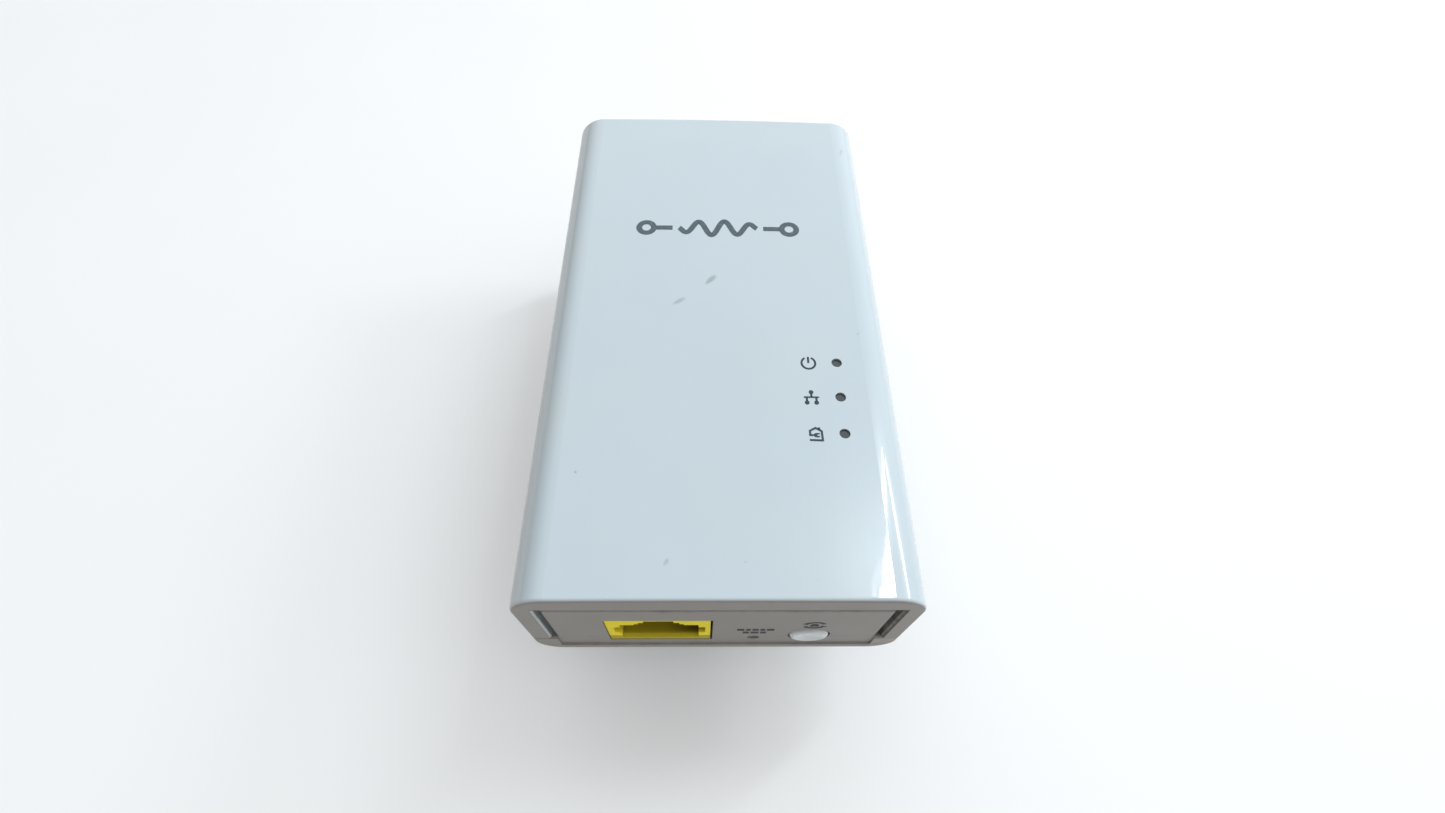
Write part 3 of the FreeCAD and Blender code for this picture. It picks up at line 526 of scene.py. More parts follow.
@dataclass(frozen=True)
class ShellFinish(Plastic):
    """The spark-grained rear shell: matte pale grey, with grime at the seam and ledges and dirt with painted
    shade in the grooves. Its port end is painted a much darker, browner grey than the rest: painted shade.
    """

    ior: float = 1.46
    # painted shade: the port end is darkened to this browner grey
    port_end: Colour = (0.275, 0.255, 0.235)
    port_from: Band = (-66.3, -67.3)
    port_amount: float = 0.95
    # grime at the seam and ledge; the same colour also serves as dirt and painted shade in the grooves
    grime_and_shade: Colour = (0.13, 0.105, 0.085)
    seam: float = 6.4
    seam_blur: float = 0.2
    ledge: float = 2.2
    settle_reach: Band = (0.5, 0.05)
    settle_size: float = 2.4
    settle_ramp: Band = (0.42, 0.7)
    settle_amount: float = 0.22
    settle_dulling: float = 0.1
    middle: float = 17.4
    groove_across: Band = (25.03, 25.15)
    groove_along: Band = (50.35, 50.0)
    groove_size: float = 1.5
    groove_ramp: Band = (0.2, 0.55)
    # painted shade: the grooves are darker towards the right
    groove_right: Band = (-5.0, 5.0)
    groove_right_amount: float = 0.35
    groove_least: float = 0.6
    # painted highlight colour for the line along the port panel's upper and right edges
    rubbed_and_highlight: Colour = (0.46, 0.44, 0.41)
    lip_top: Band = (20.05, 20.25)
    lip_right: Band = (24.75, 24.95)
    lip_above: Band = (3.0, 4.5)
    lip_face: float = 67.2
    lip_front: Band = (-0.05, -0.15)
    lip_size: float = 3.0
    lip_ramp: Band = (0.2, 0.5)
    lip_amount: float = 0.6
    pit_size: float = 0.35
    pit_ramp: Band = (0.1, 0.5)
    pit_depth: float = 0.006

    def settled(self, w: Wiring) -> Level:
        """Grime along the seam and the ledge, in patches."""
        seam = abs(w.z - self.seam).step(*self.settle_reach)
        ledge = abs(w.z - self.ledge).step(*self.settle_reach)
        return seam.most(ledge) * w.noise(self.settle_size, 4.0).step(*self.settle_ramp)

    def grooved(self, w: Wiring) -> Level:
        """Dirt and painted shade in the grooves beside both panels, above the seam, heavier to the right
        where the grooves lie in shade.
        """
        groove = abs(w.x).step(*self.groove_across) * abs(w.y + self.middle).step(*self.groove_along)
        groove = groove * w.z.step(self.seam - self.seam_blur, self.seam + self.seam_blur)
        dirt_and_shade = groove * w.noise(self.groove_size, 3.0).step(*self.groove_ramp)
        return dirt_and_shade * (w.x.step(*self.groove_right) * self.groove_right_amount + self.groove_least)

    def lip(self, w: Wiring) -> Level:
        """A painted highlight: a lighter line along the port panel's upper and right edges."""
        edge = w.z.step(*self.lip_top).most(w.x.step(*self.lip_right)) * w.z.step(*self.lip_above)
        front = (w.y + self.lip_face).step(*self.lip_front)
        return edge * front * w.noise(self.lip_size).step(*self.lip_ramp)

    def build(self) -> bpy.types.Material:
        """Make the material."""
        w = Wiring(self.name)
        colour, roughness, normal = self.shade(w)
        # painted shade on the port end
        colour = w.mix(w.y.step(*self.port_from) * self.port_amount, colour, self.port_end)
        settled = self.settled(w)
        colour = w.mix(settled * self.settle_amount, colour, self.grime_and_shade)
        # dirt and painted shade in the grooves beside both panels
        colour = w.mix(self.grooved(w), colour, self.grime_and_shade)
        # painted highlight along the port panel's upper and right edges
        colour = w.mix(self.lip(w) * self.lip_amount, colour, self.rubbed_and_highlight)
        pits = w.cells(self.pit_size).step(*self.pit_ramp)
        return w.finish({
            "Base Color": colour, "Roughness": roughness + settled * self.settle_dulling,
            "Normal": w.bump(pits, self.pit_depth, normal), "IOR": self.ior,
        })


class Brush(Enum):
    """The way a metal part's fine scratches run."""

    ALONG_X = (0.15, 3.0, 3.0)
    ALONG_Y = (3.0, 0.15, 3.0)
    ALONG_Z = (3.0, 3.0, 0.15)


@dataclass(frozen=True)
class Metal:
    """Plated or bare metal with drawn scratches and a cloudy tarnish."""

    name: str
    colour: Colour
    tarnish: Colour
    roughness: float
    brush: Brush = Brush.ALONG_Z
    tarnish_amount: float = 0.4
    tarnish_size: float = 3.2
    tarnish_ramp: Band = (0.45, 0.75)
    tarnish_dulling: float = 0.12
    scratch_size: float = 0.3
    scratch_dulling: float = 0.18
    scratch_depth: float = 0.003
    polish: float = 0.1

    def build(self) -> bpy.types.Material:
        """Make the material."""
        w = Wiring(self.name)
        stain = w.noise(self.tarnish_size, 4.0).step(*self.tarnish_ramp)
        scratches = w.noise(self.scratch_size, 3.0, self.brush.value)
        colour = w.mix(stain * self.tarnish_amount, self.colour, self.tarnish)
        dulling = scratches * self.scratch_dulling + stain * self.tarnish_dulling
        return w.finish({
            "Base Color": colour, "Roughness": dulling + (self.roughness - self.polish),
            "Metallic": 1.0, "Normal": w.bump(scratches, self.scratch_depth),
        })


@dataclass(frozen=True)
class Ridged:
    """Wound wire, tape or fins: ridges of one pitch across one axis."""

    name: str
    colour: Colour
    # groove: painted shade colour for the hollows between ridges
    groove: Colour
    pitch: float
    axis: str
    depth: float
    roughness: float
    metallic: float = 0.0
    groove_amount: float = 0.7
    dull_size: float = 1.5
    dulling: float = 0.2

    def build(self) -> bpy.types.Material:
        """Make the material: height is the sine of the distance over the pitch."""
        w = Wiring(self.name)
        along = {"x": w.x, "y": w.y, "z": w.z}[self.axis]
        ridge = (along * (2.0 * math.pi / self.pitch)).wave() * 0.5 + 0.5
        dull = w.noise(self.dull_size, 3.0) * self.dulling
        # painted shade: the colour darkens towards the groove colour in the hollows between ridges
        colour = w.mix((1.0 - ridge) * self.groove_amount, self.colour, self.groove)
        return w.finish({
            "Base Color": colour, "Roughness": dull + (self.roughness - self.dulling / 2),
            "Metallic": self.metallic, "Normal": w.bump(ridge, self.depth),
        })


@dataclass(frozen=True)
class BoardFinish:
    """Solder mask over copper tracks, in two greens, with a scatter of plated vias."""

    name: str = "solder_mask"
    mask: Colour = (0.012, 0.12, 0.045)
    track: Colour = (0.03, 0.24, 0.09)
    via: Colour = (0.75, 0.70, 0.58)
    plan: Triple = (1.0, 1.0, 0.0)
    track_size: float = 3.1
    track_ramp: Band = (0.10, 0.07)
    fine_size: float = 1.2
    fine_ramp: Band = (0.09, 0.06)
    fine_patch: float = 7.0
    fine_patch_ramp: Band = (0.5, 0.54)
    via_size: float = 2.3
    via_ramp: Band = (0.11, 0.08)
    track_height: float = 0.6
    via_height: float = 0.4
    relief: float = 0.03
    roughness: float = 0.32
    cloud_size: float = 4.0
    cloud_dulling: float = 0.1
    coat: float = 0.3

    def build(self) -> bpy.types.Material:
        """Make the material."""
        w = Wiring(self.name)
        edge = {"feature": "DISTANCE_TO_EDGE", "distance": "MANHATTAN"}
        tracks = w.cells(self.track_size, self.plan, edge).step(*self.track_ramp)
        patch = w.noise(self.fine_patch, 1.0, self.plan).step(*self.fine_patch_ramp)
        copper = tracks.most(w.cells(self.fine_size, self.plan, edge).step(*self.fine_ramp) * patch)
        vias = w.cells(self.via_size, self.plan).step(*self.via_ramp)
        colour = w.mix(vias, w.mix(copper, self.mask, self.track), self.via)
        height = copper * self.track_height + vias * self.via_height
        return w.finish({
            "Base Color": colour, "Roughness": self.roughness + w.noise(self.cloud_size) * self.cloud_dulling,
            "Metallic": vias, "Normal": w.bump(height, self.relief), "Coat Weight": self.coat,
        })


@dataclass(frozen=True)
class Ink:
    """Pad-printed grey ink, a little thin and worn in places."""

    name: str
    colour: Colour
    worn: Colour
    roughness: float = 0.42
    ior: float = 1.2
    thin_size: float = 0.45
    thin_ramp: Band = (0.45, 0.8)
    thin_amount: float = 0.3
    thin_dulling: float = 0.15
    thin_depth: float = 0.002

    def build(self) -> bpy.types.Material:
        """Make the material."""
        w = Wiring(self.name)
        thin = w.noise(self.thin_size, 4.0).step(*self.thin_ramp)
        return w.finish({
            "Base Color": w.mix(thin * self.thin_amount, self.colour, self.worn),
            "Roughness": thin * self.thin_dulling + self.roughness,
            "Normal": w.bump(thin, self.thin_depth), "IOR": self.ior,
        })


@dataclass(frozen=True)
class Smoked:
    """Clear plastic over a dark inside, as an unlit light pipe looks from above."""

    name: str
    colour: Colour
    glow: Colour
    depth_size: float = 0.8
    glow_amount: float = 0.6
    roughness: float = 0.08
    dulling: float = 0.1
    grain_size: float = 0.5
    grain_depth: float = 0.004
    coat: float = 0.6
    coat_roughness: float = 0.05

    def build(self) -> bpy.types.Material:
        """Make the material."""
        w = Wiring(self.name)
        depth = w.noise(self.depth_size, 3.0)
        return w.finish({
            "Base Color": w.mix(depth * self.glow_amount, self.colour, self.glow),
            "Roughness": depth * self.dulling + self.roughness,
            "Normal": w.bump(w.noise(self.grain_size), self.grain_depth),
            "Coat Weight": self.coat, "Coat Roughness": self.coat_roughness,
        })


@dataclass(frozen=True)
class FloorFinish:
    """A plain pale studio floor."""

    name: str = "studio_floor"
    colour: Colour = (0.93, 0.93, 0.93)
    cloud_size: float = 60.0
    cloud_share: float = 0.97
    roughness: float = 0.9

    def build(self) -> bpy.types.Material:
        """Make the material."""
        w = Wiring(self.name)
        clouded = tuple(c * self.cloud_share for c in self.colour)
        colour = w.mix(w.noise(self.cloud_size, 2.0), self.colour, clouded)
        return w.finish({"Base Color": colour, "Roughness": self.roughness})


Finish = Union[Plastic, Metal, Ridged, BoardFinish, Smoked]


# ---- mesh helpers ----------------------------------------------------------------------------

def grid_faces(rows: int, columns: int, wrap_rows: bool = False, wrap_columns: bool = False) -> np.ndarray:
    """Quads of a grid whose points run row by row.

    Args:
        rows: the number of rows of points.
        columns: the number of points in a row.
        wrap_rows: whether the last row joins the first.
        wrap_columns: whether the last column joins the first.

    Returns:
        An array of four point numbers a face.
    """
    r = np.arange(rows if wrap_rows else rows - 1)
    c = np.arange(columns if wrap_columns else columns - 1)
    rr, cc = np.meshgrid(r, c, indexing="ij")
    down, right = (rr + 1) % rows, (cc + 1) % columns
    quads = [rr * columns + cc, rr * columns + right, down * columns + right, down * columns + cc]
    return np.stack(quads, axis=-1).reshape(-1, 4)


class Pile:
    """Points and faces gathered from several shapes into one mesh."""

    def __init__(self) -> None:
        """Start empty."""
        self.points: list[np.ndarray] = []
        self.faces: list[list[int]] = []
        self.count = 0

    def add(self, points: np.ndarray, faces: Sequence[Sequence[int]]) -> None:
        """Add one shape's points and faces."""
        self.points.append(np.asarray(points, float).reshape(-1, 3))
        self.faces += [[int(i) + self.count for i in face] for face in faces]
        self.count += len(self.points[-1])

    def piece(self, name: str, body: str, slot: str, finish: bpy.types.Material) -> bpy.types.Object:
        """Make the gathered shapes one piece of the object.

        Args:
            name: the piece's name.
            body: the CAD body it moves with.
            slot: the record's material slot; not used.
            finish: its material.

        Returns:
            The object.
        """
        mesh = bpy.data.meshes.new(name)
        mesh.from_pydata(np.concatenate(self.points).tolist(), [], self.faces)
        mesh.update()
        mesh.materials.append(finish)
        mesh.shade_smooth()
        mesh.set_sharp_from_angle(angle=math.radians(SMOOTH_UNDER))
        made = bpy.data.objects.new(name, mesh)
        bpy.context.scene.collection.objects.link(made)
        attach(made, body)
        LOG.info("%s: %d faces on %s", name, len(self.faces), body)
        return made


def tube(path: np.ndarray, radius: float, sides: int = 12, closed: bool = False) -> tuple[np.ndarray, list]:
    """A round wire along a path.

    Formula: each path point carries a ring; ring direction k is cos(k) times a side vector plus
    sin(k) times the vector square to it, both square to the path's own direction.

    Args:
        path: the centre line's points.
        radius: the wire's radius.
        sides: points in each ring.
        closed: whether the path closes on itself.

    Returns:
        The points and the faces, with flat ends on an open path.
    """
    ahead = np.roll(path, -1, axis=0) - np.roll(path, 1, axis=0)
    if not closed:
        ahead[0], ahead[-1] = path[1] - path[0], path[-1] - path[-2]
    ahead /= np.linalg.norm(ahead, axis=1, keepdims=True)
    guide = np.where(np.abs(ahead[:, 2:3]) < 0.9, [[0.0, 0.0, 1.0]], [[1.0, 0.0, 0.0]])
    side = np.cross(ahead, guide)
    side /= np.linalg.norm(side, axis=1, keepdims=True)
    up = np.cross(side, ahead)
    turn = np.linspace(0.0, 2.0 * math.pi, sides, endpoint=False)
    ring = np.cos(turn)[None, :, None] * side[:, None] + np.sin(turn)[None, :, None] * up[:, None]
    points = path[:, None] + radius * ring
    faces = grid_faces(len(path), sides, closed, True)[:, ::-1].tolist()
    if not closed:
        faces.append(list(range(sides)))
        faces.append([len(path) * sides - 1 - i for i in range(sides)])
    return points.reshape(-1, 3), faces


def lathe(profile: np.ndarray, centre: Sequence[float], steps: int = 48) -> tuple[np.ndarray, list]:
    """A profile of (radius, height) turned once about an upright axis, with flat ends.

    Formula: point (i, k) is centre + radius_i * (cos k, sin k) in the plan and height_i up.

    Args:
        profile: the radii and heights, from the lower end to the upper.
        centre: the axis's foot.
        steps: points in each ring.

    Returns:
        The points and the faces.
    """
    turn = np.linspace(0.0, 2.0 * math.pi, steps, endpoint=False)
    radius, height = profile[:, 0], profile[:, 1]
    level = np.repeat(height[:, None], steps, axis=1)
    ring = (radius[:, None] * np.cos(turn), radius[:, None] * np.sin(turn), level)
    points = np.stack(ring, axis=-1) + np.asarray(centre, float)
    faces = grid_faces(len(profile), steps, False, True).tolist()
    faces.append(list(range(steps))[::-1])
    faces.append([(len(profile) - 1) * steps + i for i in range(steps)])
    return points.reshape(-1, 3), faces


def arc(centre: Sequence[float], radius: float, start: float, end: float, count: int = 32) -> np.ndarray:
    """Points along a flat arc; angles in degrees, anticlockwise from the first axis."""
    turn = np.radians(np.linspace(start, end, count))
    return np.stack([centre[0] + radius * np.cos(turn), centre[1] + radius * np.sin(turn)], axis=-1)


def line(*points: Sequence[float], step: float = 0.4) -> np.ndarray:
    """A straight-sided path, filled in with a point about every step."""
    corners = [np.asarray(p, float) for p in points]
    filled = [corners[0][None]]
    for a, b in zip(corners, corners[1:]):
        count = max(1, int(np.ceil(np.linalg.norm(b - a) / step)))
        filled.append(a + (b - a) * (np.arange(1, count + 1) / count)[:, None])
    return np.concatenate(filled)


@dataclass
class InkBed:
    """A surface that takes printing: turns flat artwork in millimetres into places on the piece."""

    place: Callable[[np.ndarray, float], np.ndarray]
    thickness: float = 0.02

    def stroke(self, pile: Pile, path: np.ndarray, width: float, closed: bool = False) -> None:
        """A line of ink: a thin strip carried along the path, closed on every side.

        Formula: at each path point the strip's edges stand half the width to either side,
        square to the path's direction and mitred where it turns.

        Args:
            pile: the mesh that takes the stroke.
            path: the centre line in artwork millimetres.
            width: the line's width.
            closed: whether the path closes on itself.
        """
        before, after = path - np.roll(path, 1, axis=0), np.roll(path, -1, axis=0) - path
        if not closed:
            before[0], after[-1] = after[0], before[-1]
        before /= np.linalg.norm(before, axis=1, keepdims=True)
        after /= np.linalg.norm(after, axis=1, keepdims=True)
        square = np.stack([-(before + after)[:, 1], (before + after)[:, 0]], axis=-1)
        square /= np.linalg.norm(square, axis=1, keepdims=True)
        reach = 1.0 / np.maximum((square[:, 0] * -after[:, 1] + square[:, 1] * after[:, 0]), 0.35)
        offset = square * (width / 2 * reach)[:, None]
        left, right = path + offset, path - offset
        ring = [self.place(left, 0.0), self.place(left, self.thickness),
                self.place(right, self.thickness), self.place(right, 0.0)]
        points = np.stack(ring, axis=1).reshape(-1, 3)
        faces = grid_faces(len(path), 4, closed, True).tolist()
        if not closed:
            last = 4 * (len(path) - 1)
            faces += [[3, 2, 1, 0], [last, last + 1, last + 2, last + 3]]
        pile.add(points, faces)

    def blot(self, pile: Pile, outline: np.ndarray) -> None:
        """A filled shape with this anticlockwise outline."""
        count = len(outline)
        low, high = self.place(outline, 0.0), self.place(outline, self.thickness)
        faces = grid_faces(2, count, False, True).tolist()
        faces.append(list(range(count))[::-1])
        faces.append([count + i for i in range(count)])
        pile.add(np.concatenate([low, high]), faces)


# ---- printing --------------------------------------------------------------------------------

@dataclass
class LabelPrint:
    """The printing on the label face: an emblem and one sign beside each status light."""

    ink: bpy.types.Material
    emblem_ink: bpy.types.Material
    body_height: float = 27.0
    body_width: float = 58.0
    crown: float = 0.4
    port_end: float = -68.0
    sign_x: float = 14.55
    home_shift: float = 0.25
    line_width: float = 0.34
    lift: float = 0.004
    emblem_y: float = 69.1
    emblem_half: float = 15.1
    emblem_stroke: float = 1.05
    wave_half: float = 7.2
    wave_rise: float = 1.8
    wave_crests: float = 3.0
    wave_swell: float = 0.35
    lead_from: float = 8.4
    ring_radius: float = 1.35
    node_radius: float = 0.38

    def bed(self) -> InkBed:
        """The crowned face: height falls from the middle along a circle of very large radius."""
        radius = (self.body_width ** 2 / 4 + self.crown ** 2) / (2 * self.crown)
        top, port = self.body_height + self.lift, self.port_end

        def place(flat: np.ndarray, up: float) -> np.ndarray:
            """Artwork x and distance from the port end to a point in metres."""
            height = top - radius + np.sqrt(radius ** 2 - flat[:, 0] ** 2) + up
            return np.stack([flat[:, 0], flat[:, 1] + port, height], axis=-1) * MM

        return InkBed(place)

    def emblem(self) -> bpy.types.Object:
        """A plain signal mark: a carrier wave between two level leads that end in rings."""
        bed, pile = self.bed(), Pile()
        middle, half, stroke = self.emblem_y, self.emblem_half, self.emblem_stroke
        x = np.linspace(-self.wave_half, self.wave_half, 161)
        swell = np.cos(x / self.wave_half * math.pi / 2) ** self.wave_swell
        wave = middle + self.wave_rise * swell * np.sin(x / self.wave_half * self.wave_crests * math.pi)
        bed.stroke(pile, np.stack([x, wave], axis=-1), stroke)
        for side in (-1, 1):
            lead = line((side * self.lead_from, middle), (side * (half - 3.6), middle))
            bed.stroke(pile, lead if side > 0 else lead[::-1], stroke)
            ring = arc((side * (half - 1.9), middle), self.ring_radius, 0, 360 - 360 / 40, 40)
            bed.stroke(pile, ring, stroke, closed=True)
        return pile.piece("label_emblem", CASING, "cover_white", self.emblem_ink)

    def power_sign(self, y: float) -> bpy.types.Object:
        """A ring open at the top with an upright bar in the gap."""
        bed, pile = self.bed(), Pile()
        y -= 0.17
        bed.stroke(pile, arc((self.sign_x, y), 1.12, 120, 425), self.line_width)
        bed.stroke(pile, line((self.sign_x, y), (self.sign_x, y + 1.22)), self.line_width)
        return pile.piece("power_sign", CASING, "cover_white", self.ink)

    def network_sign(self, y: float) -> bpy.types.Object:
        """A tree of one upper node over two lower ones."""
        bed, pile = self.bed(), Pile()
        x, w = self.sign_x, self.line_width
        level = y - 0.12
        bed.stroke(pile, line((x - 1.2, level), (x + 1.2, level)), w * 0.85)
        bed.stroke(pile, line((x, level), (x, y + 0.7)), w)
        bed.blot(pile, arc((x, y + 0.82), self.node_radius, 0, 345, 24))
        for side in (-1, 1):
            at = x + side * 0.75
            bed.stroke(pile, line((at, y - 0.9), (at, level)), w)
            bed.blot(pile, arc((at, y - 1.12), self.node_radius, 0, 345, 24))
        return pile.piece("network_sign", CASING, "cover_white", self.ink)

    def home_sign(self, y: float) -> bpy.types.Object:
        """A house outline with a chimney, and a plug on its lead inside."""
        bed, pile = self.bed(), Pile()
        x, w = self.sign_x + self.home_shift, self.line_width
        house = line((x - 1.08, y - 1.2), (x + 0.9, y - 1.25), (x + 0.85, y + 0.35), (x - 0.06, y + 0.92),
                     (x - 0.96, y + 0.4), (x - 0.96, y - 0.35), (x - 0.5, y - 0.35))
        bed.stroke(pile, house, w)
        bed.stroke(pile, line((x + 0.48, y + 1.02), (x + 0.48, y + 0.6)), w)
        bed.blot(pile, np.array([[x + 0.16, y - 0.76], [x + 0.16, y + 0.06], [x - 0.25, y - 0.02],
                                 [x - 0.55, y - 0.35], [x - 0.25, y - 0.68]]))
        for level in (-0.6, -0.1):
            bed.stroke(pile, line((x + 0.14, y + level), (x + 0.52, y + level)), w * 0.7)
        return pile.piece("home_sign", CASING, "cover_white", self.ink)

    def build(self) -> None:
        """Print the emblem and the three signs, each level with its light."""
        self.emblem()
        for sign, node in ((self.home_sign, "powerline_led"), (self.network_sign, "network_led"),
                           (self.power_sign, "power_led")):
            low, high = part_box(node)
            sign((low.y + high.y) / 2 / MM - self.port_end)


@dataclass
class PortPrint:
    """The printing on the port panel: a sign over the button and one over the reset hole."""

    ink: bpy.types.Material
    face: float = -67.65
    line_width: float = 0.55
    sync_centre: tuple[float, float] = (14.5, 13.1)
    sync_radius: float = 1.55
    bar_width: float = 1.05
    bar_gap: float = 0.28
    bar_rows: tuple[tuple[float, float, tuple[float, ...]], ...] = (
        (10.45, 2.95, (1.1, 0.7, 0.95, 0.7, 1.15)),
        (8.75, 3.9, (0.95, 1.2, 0.9)),
    )

    def bed(self) -> InkBed:
        """The flat panel: artwork x and height on the wall-side plate."""
        def place(flat: np.ndarray, up: float) -> np.ndarray:
            """Artwork point to a point in metres, standing off towards the viewer."""
            depth = np.full(len(flat), self.face - 0.004 - up)
            return np.stack([flat[:, 0], depth, flat[:, 1]], axis=-1) * MM

        return InkBed(place)

    def sync_sign(self) -> bpy.types.Object:
        """Two arrows chasing round a small padlock body."""
        bed, pile = self.bed(), Pile()
        x, z = self.sync_centre
        for turn in (0, 180):
            bed.stroke(pile, arc((x, z), self.sync_radius, 25 + turn, 140 + turn), self.line_width)
            tip = arc((x, z), self.sync_radius, 150 + turn, 152 + turn, 2)[0]
            fan = arc(tip, 0.62, 60 + turn, 300 + turn, 3)
            bed.blot(pile, fan)
        bed.blot(pile, np.array([[x - 0.62, z - 0.75], [x + 0.62, z - 0.75],
                                 [x + 0.62, z + 0.1], [x - 0.62, z + 0.1]]))
        bed.stroke(pile, arc((x, z + 0.1), 0.42, 0, 180, 12), self.line_width * 0.8)
        return pile.piece("sync_sign", CASING, "shell_white", self.ink)

    def reset_sign(self) -> bpy.types.Object:
        """Two rows of short bars, centred over the reset hole."""
        bed, pile = self.bed(), Pile()
        for level, start, bars in self.bar_rows:
            at = start
            for length in bars:
                bed.stroke(pile, line((at, level), (at + length, level)), self.bar_width)
                at += length + self.bar_gap
        return pile.piece("reset_sign", CASING, "shell_white", self.ink)

    def build(self) -> None:
        """Print both signs."""
        self.sync_sign()
        self.reset_sign()


# ---- wound parts and board parts --------------------------------------------------------------

@dataclass
class Choke:
    """The common-mode choke: a ferrite ring with two separate windings."""

    core: bpy.types.Material
    wire: bpy.types.Material
    turns: int = 11
    wire_radius: float = 0.42
    wire_fill: float = 0.96
    clear_angle: float = 0.35

    def build(self) -> None:
        """Wind both halves round the ring.

        Formula: the wire's centre goes round the ring by angle a while it goes round the ring's
        own section by turns * a, at the section's radius plus the wire's.
        """
        low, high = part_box("common_mode_choke")
        centre = (low + high) / 2 / MM
        section = (high.z - low.z) / 2 / MM - 2 * self.wire_radius
        ring = (high.x - low.x) / 2 / MM - (high.z - low.z) / 2 / MM
        a = np.linspace(0, 2 * math.pi, 96, endpoint=False)
        loop = np.stack([ring * np.cos(a), ring * np.sin(a), 0 * a], axis=-1) + np.array(centre)
        pile = Pile()
        points, faces = tube(loop, section, 24, closed=True)
        pile.add(points * MM, faces)
        core = pile.piece("choke_ring", CASING, "ferrite", self.core)
        pile = Pile()
        orbit = section + self.wire_radius
        for start in (0.0, math.pi):
            a = np.linspace(start + self.clear_angle, start + math.pi - self.clear_angle, self.turns * 24)
            b = (a - start) / (math.pi - 2 * self.clear_angle) * self.turns * 2 * math.pi
            reach = ring + orbit * np.cos(b)
            path = np.stack([reach * np.cos(a), reach * np.sin(a), orbit * np.sin(b)], -1)
            points, faces = tube(path + np.array(centre), self.wire_radius * self.wire_fill, 8)
            pile.add(points * MM, faces)
        wire = pile.piece("choke_winding", CASING, "winding_copper", self.wire)
        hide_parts("common_mode_choke")
        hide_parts("common_mode_choke")


@dataclass
class CapacitorTops:
    """The bright dished tops of the electrolytic cans."""

    metal: bpy.types.Material
    cans: tuple[tuple[str, float], ...] = (("bulk_capacitors", 4.2), ("output_capacitors", 3.15))
    nearness: float = 1e-5

    def build(self) -> None:
        """Put a dished top on every can, two cans to a node."""
        pile = Pile()
        for node, radius in self.cans:
            low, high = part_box(node)
            vertices = np.array([v.co for v in frame["nodes"][node].data.vertices])
            left = vertices[vertices[:, 0] < low.x + 2 * radius * MM + self.nearness]
            right = vertices[vertices[:, 0] > high.x - 2 * radius * MM - self.nearness]
            for part in (left, right):
                x, y = ((part[:, i].min() + part[:, i].max()) / 2 / MM for i in (0, 1))
                top = high.z / MM
                profile = np.array([
                    [radius * 0.86, top + 0.01], [radius * 0.86, top + 0.12], [radius * 0.80, top + 0.16],
                    [radius * 0.74, top + 0.08], [0.001, top + 0.06]])
                points, faces = lathe(profile, (x, y, 0.0))
                pile.add(points * MM, faces)
        pile.piece("can_tops", CASING, "sink_aluminium", self.metal)


# ---- dressing the CAD nodes ------------------------------------------------------------------

def scuffs(port: float = -68.0) -> tuple[Scuff, ...]:
    """The rubbed marks on the label face, placed by their distance from the port end."""
    return (
        Scuff(-1.37, 56.4 + port, 0.85, 1.7, 0.62, 0.8),
        Scuff(-6.8, 51.5 + port, 0.62, 1.6, 0.5, 0.65),
        Scuff(-7.4, 5.4 + port, 1.0, 0.75, 0.34, 0.6),
        Scuff(-21.1, 19.0 + port, 0.0, 0.25, 0.22, 0.95),
        Scuff(25.3, 92.0 + port, 1.3, 1.3, 0.35, 0.45),
        Scuff(23.4, 45.0 + port, 0.8, 0.5, 0.2, 0.5),
        Scuff(3.4, 5.4 + port, 0.4, 0.3, 0.2, 0.5),
    )


def outer_finishes() -> dict[str, Finish]:
    """The finish of each record slot that shows from outside."""
    return {
        "cover_white": CoverFinish(
            "cover_gloss_white", (0.505, 0.59, 0.635), (0.47, 0.55, 0.595), 0.22,
            cloud_amount=0.3, cloud_size=16.0, grain_size=0.9, grain_depth=0.0012, scuffs=scuffs()),
        "shell_white": ShellFinish(
            "shell_grained_white", (0.50, 0.52, 0.53), (0.46, 0.475, 0.475), 0.55,
            grain_size=0.16, grain_depth=0.006),
        "base_white": Plastic("plug_base_white", (0.54, 0.54, 0.53), (0.48, 0.48, 0.46), 0.5),
        "plug_metal": Metal("nickel_plate", (0.78, 0.76, 0.72), (0.52, 0.46, 0.38), 0.28),
        "jack_yellow": SocketFinish(
            "socket_yellow", (0.95, 0.80, 0.045), (0.85, 0.69, 0.035), 0.5, cloud_size=4.0, speck=0.3),
        "contact_gold": Metal(
            "contact_gold", (0.90, 0.66, 0.26), (0.72, 0.48, 0.18), 0.22, Brush.ALONG_Y),
        "button_white": Plastic(
            "button_satin_white", (0.62, 0.66, 0.68), (0.56, 0.59, 0.60), 0.24,
            cloud_size=2.5, grain_depth=0.001, coat=0.5),
        "plunger_white": Plastic(
            "plunger_white", (0.62, 0.62, 0.59), (0.56, 0.55, 0.51), 0.4, cloud_size=1.5),
        "pipe_smoke": Smoked("light_pipe_smoke", (0.012, 0.022, 0.028), (0.05, 0.07, 0.08)),
        "label_silver": Plastic(
            "label_film", (0.62, 0.63, 0.64), (0.55, 0.56, 0.57), 0.3,
            cloud_size=3.0, grain_size=0.5, grain_depth=0.002),
        "screw_steel": Metal(
            "zinc_plate", (0.80, 0.79, 0.76), (0.55, 0.52, 0.44), 0.3, Brush.ALONG_X),
    }


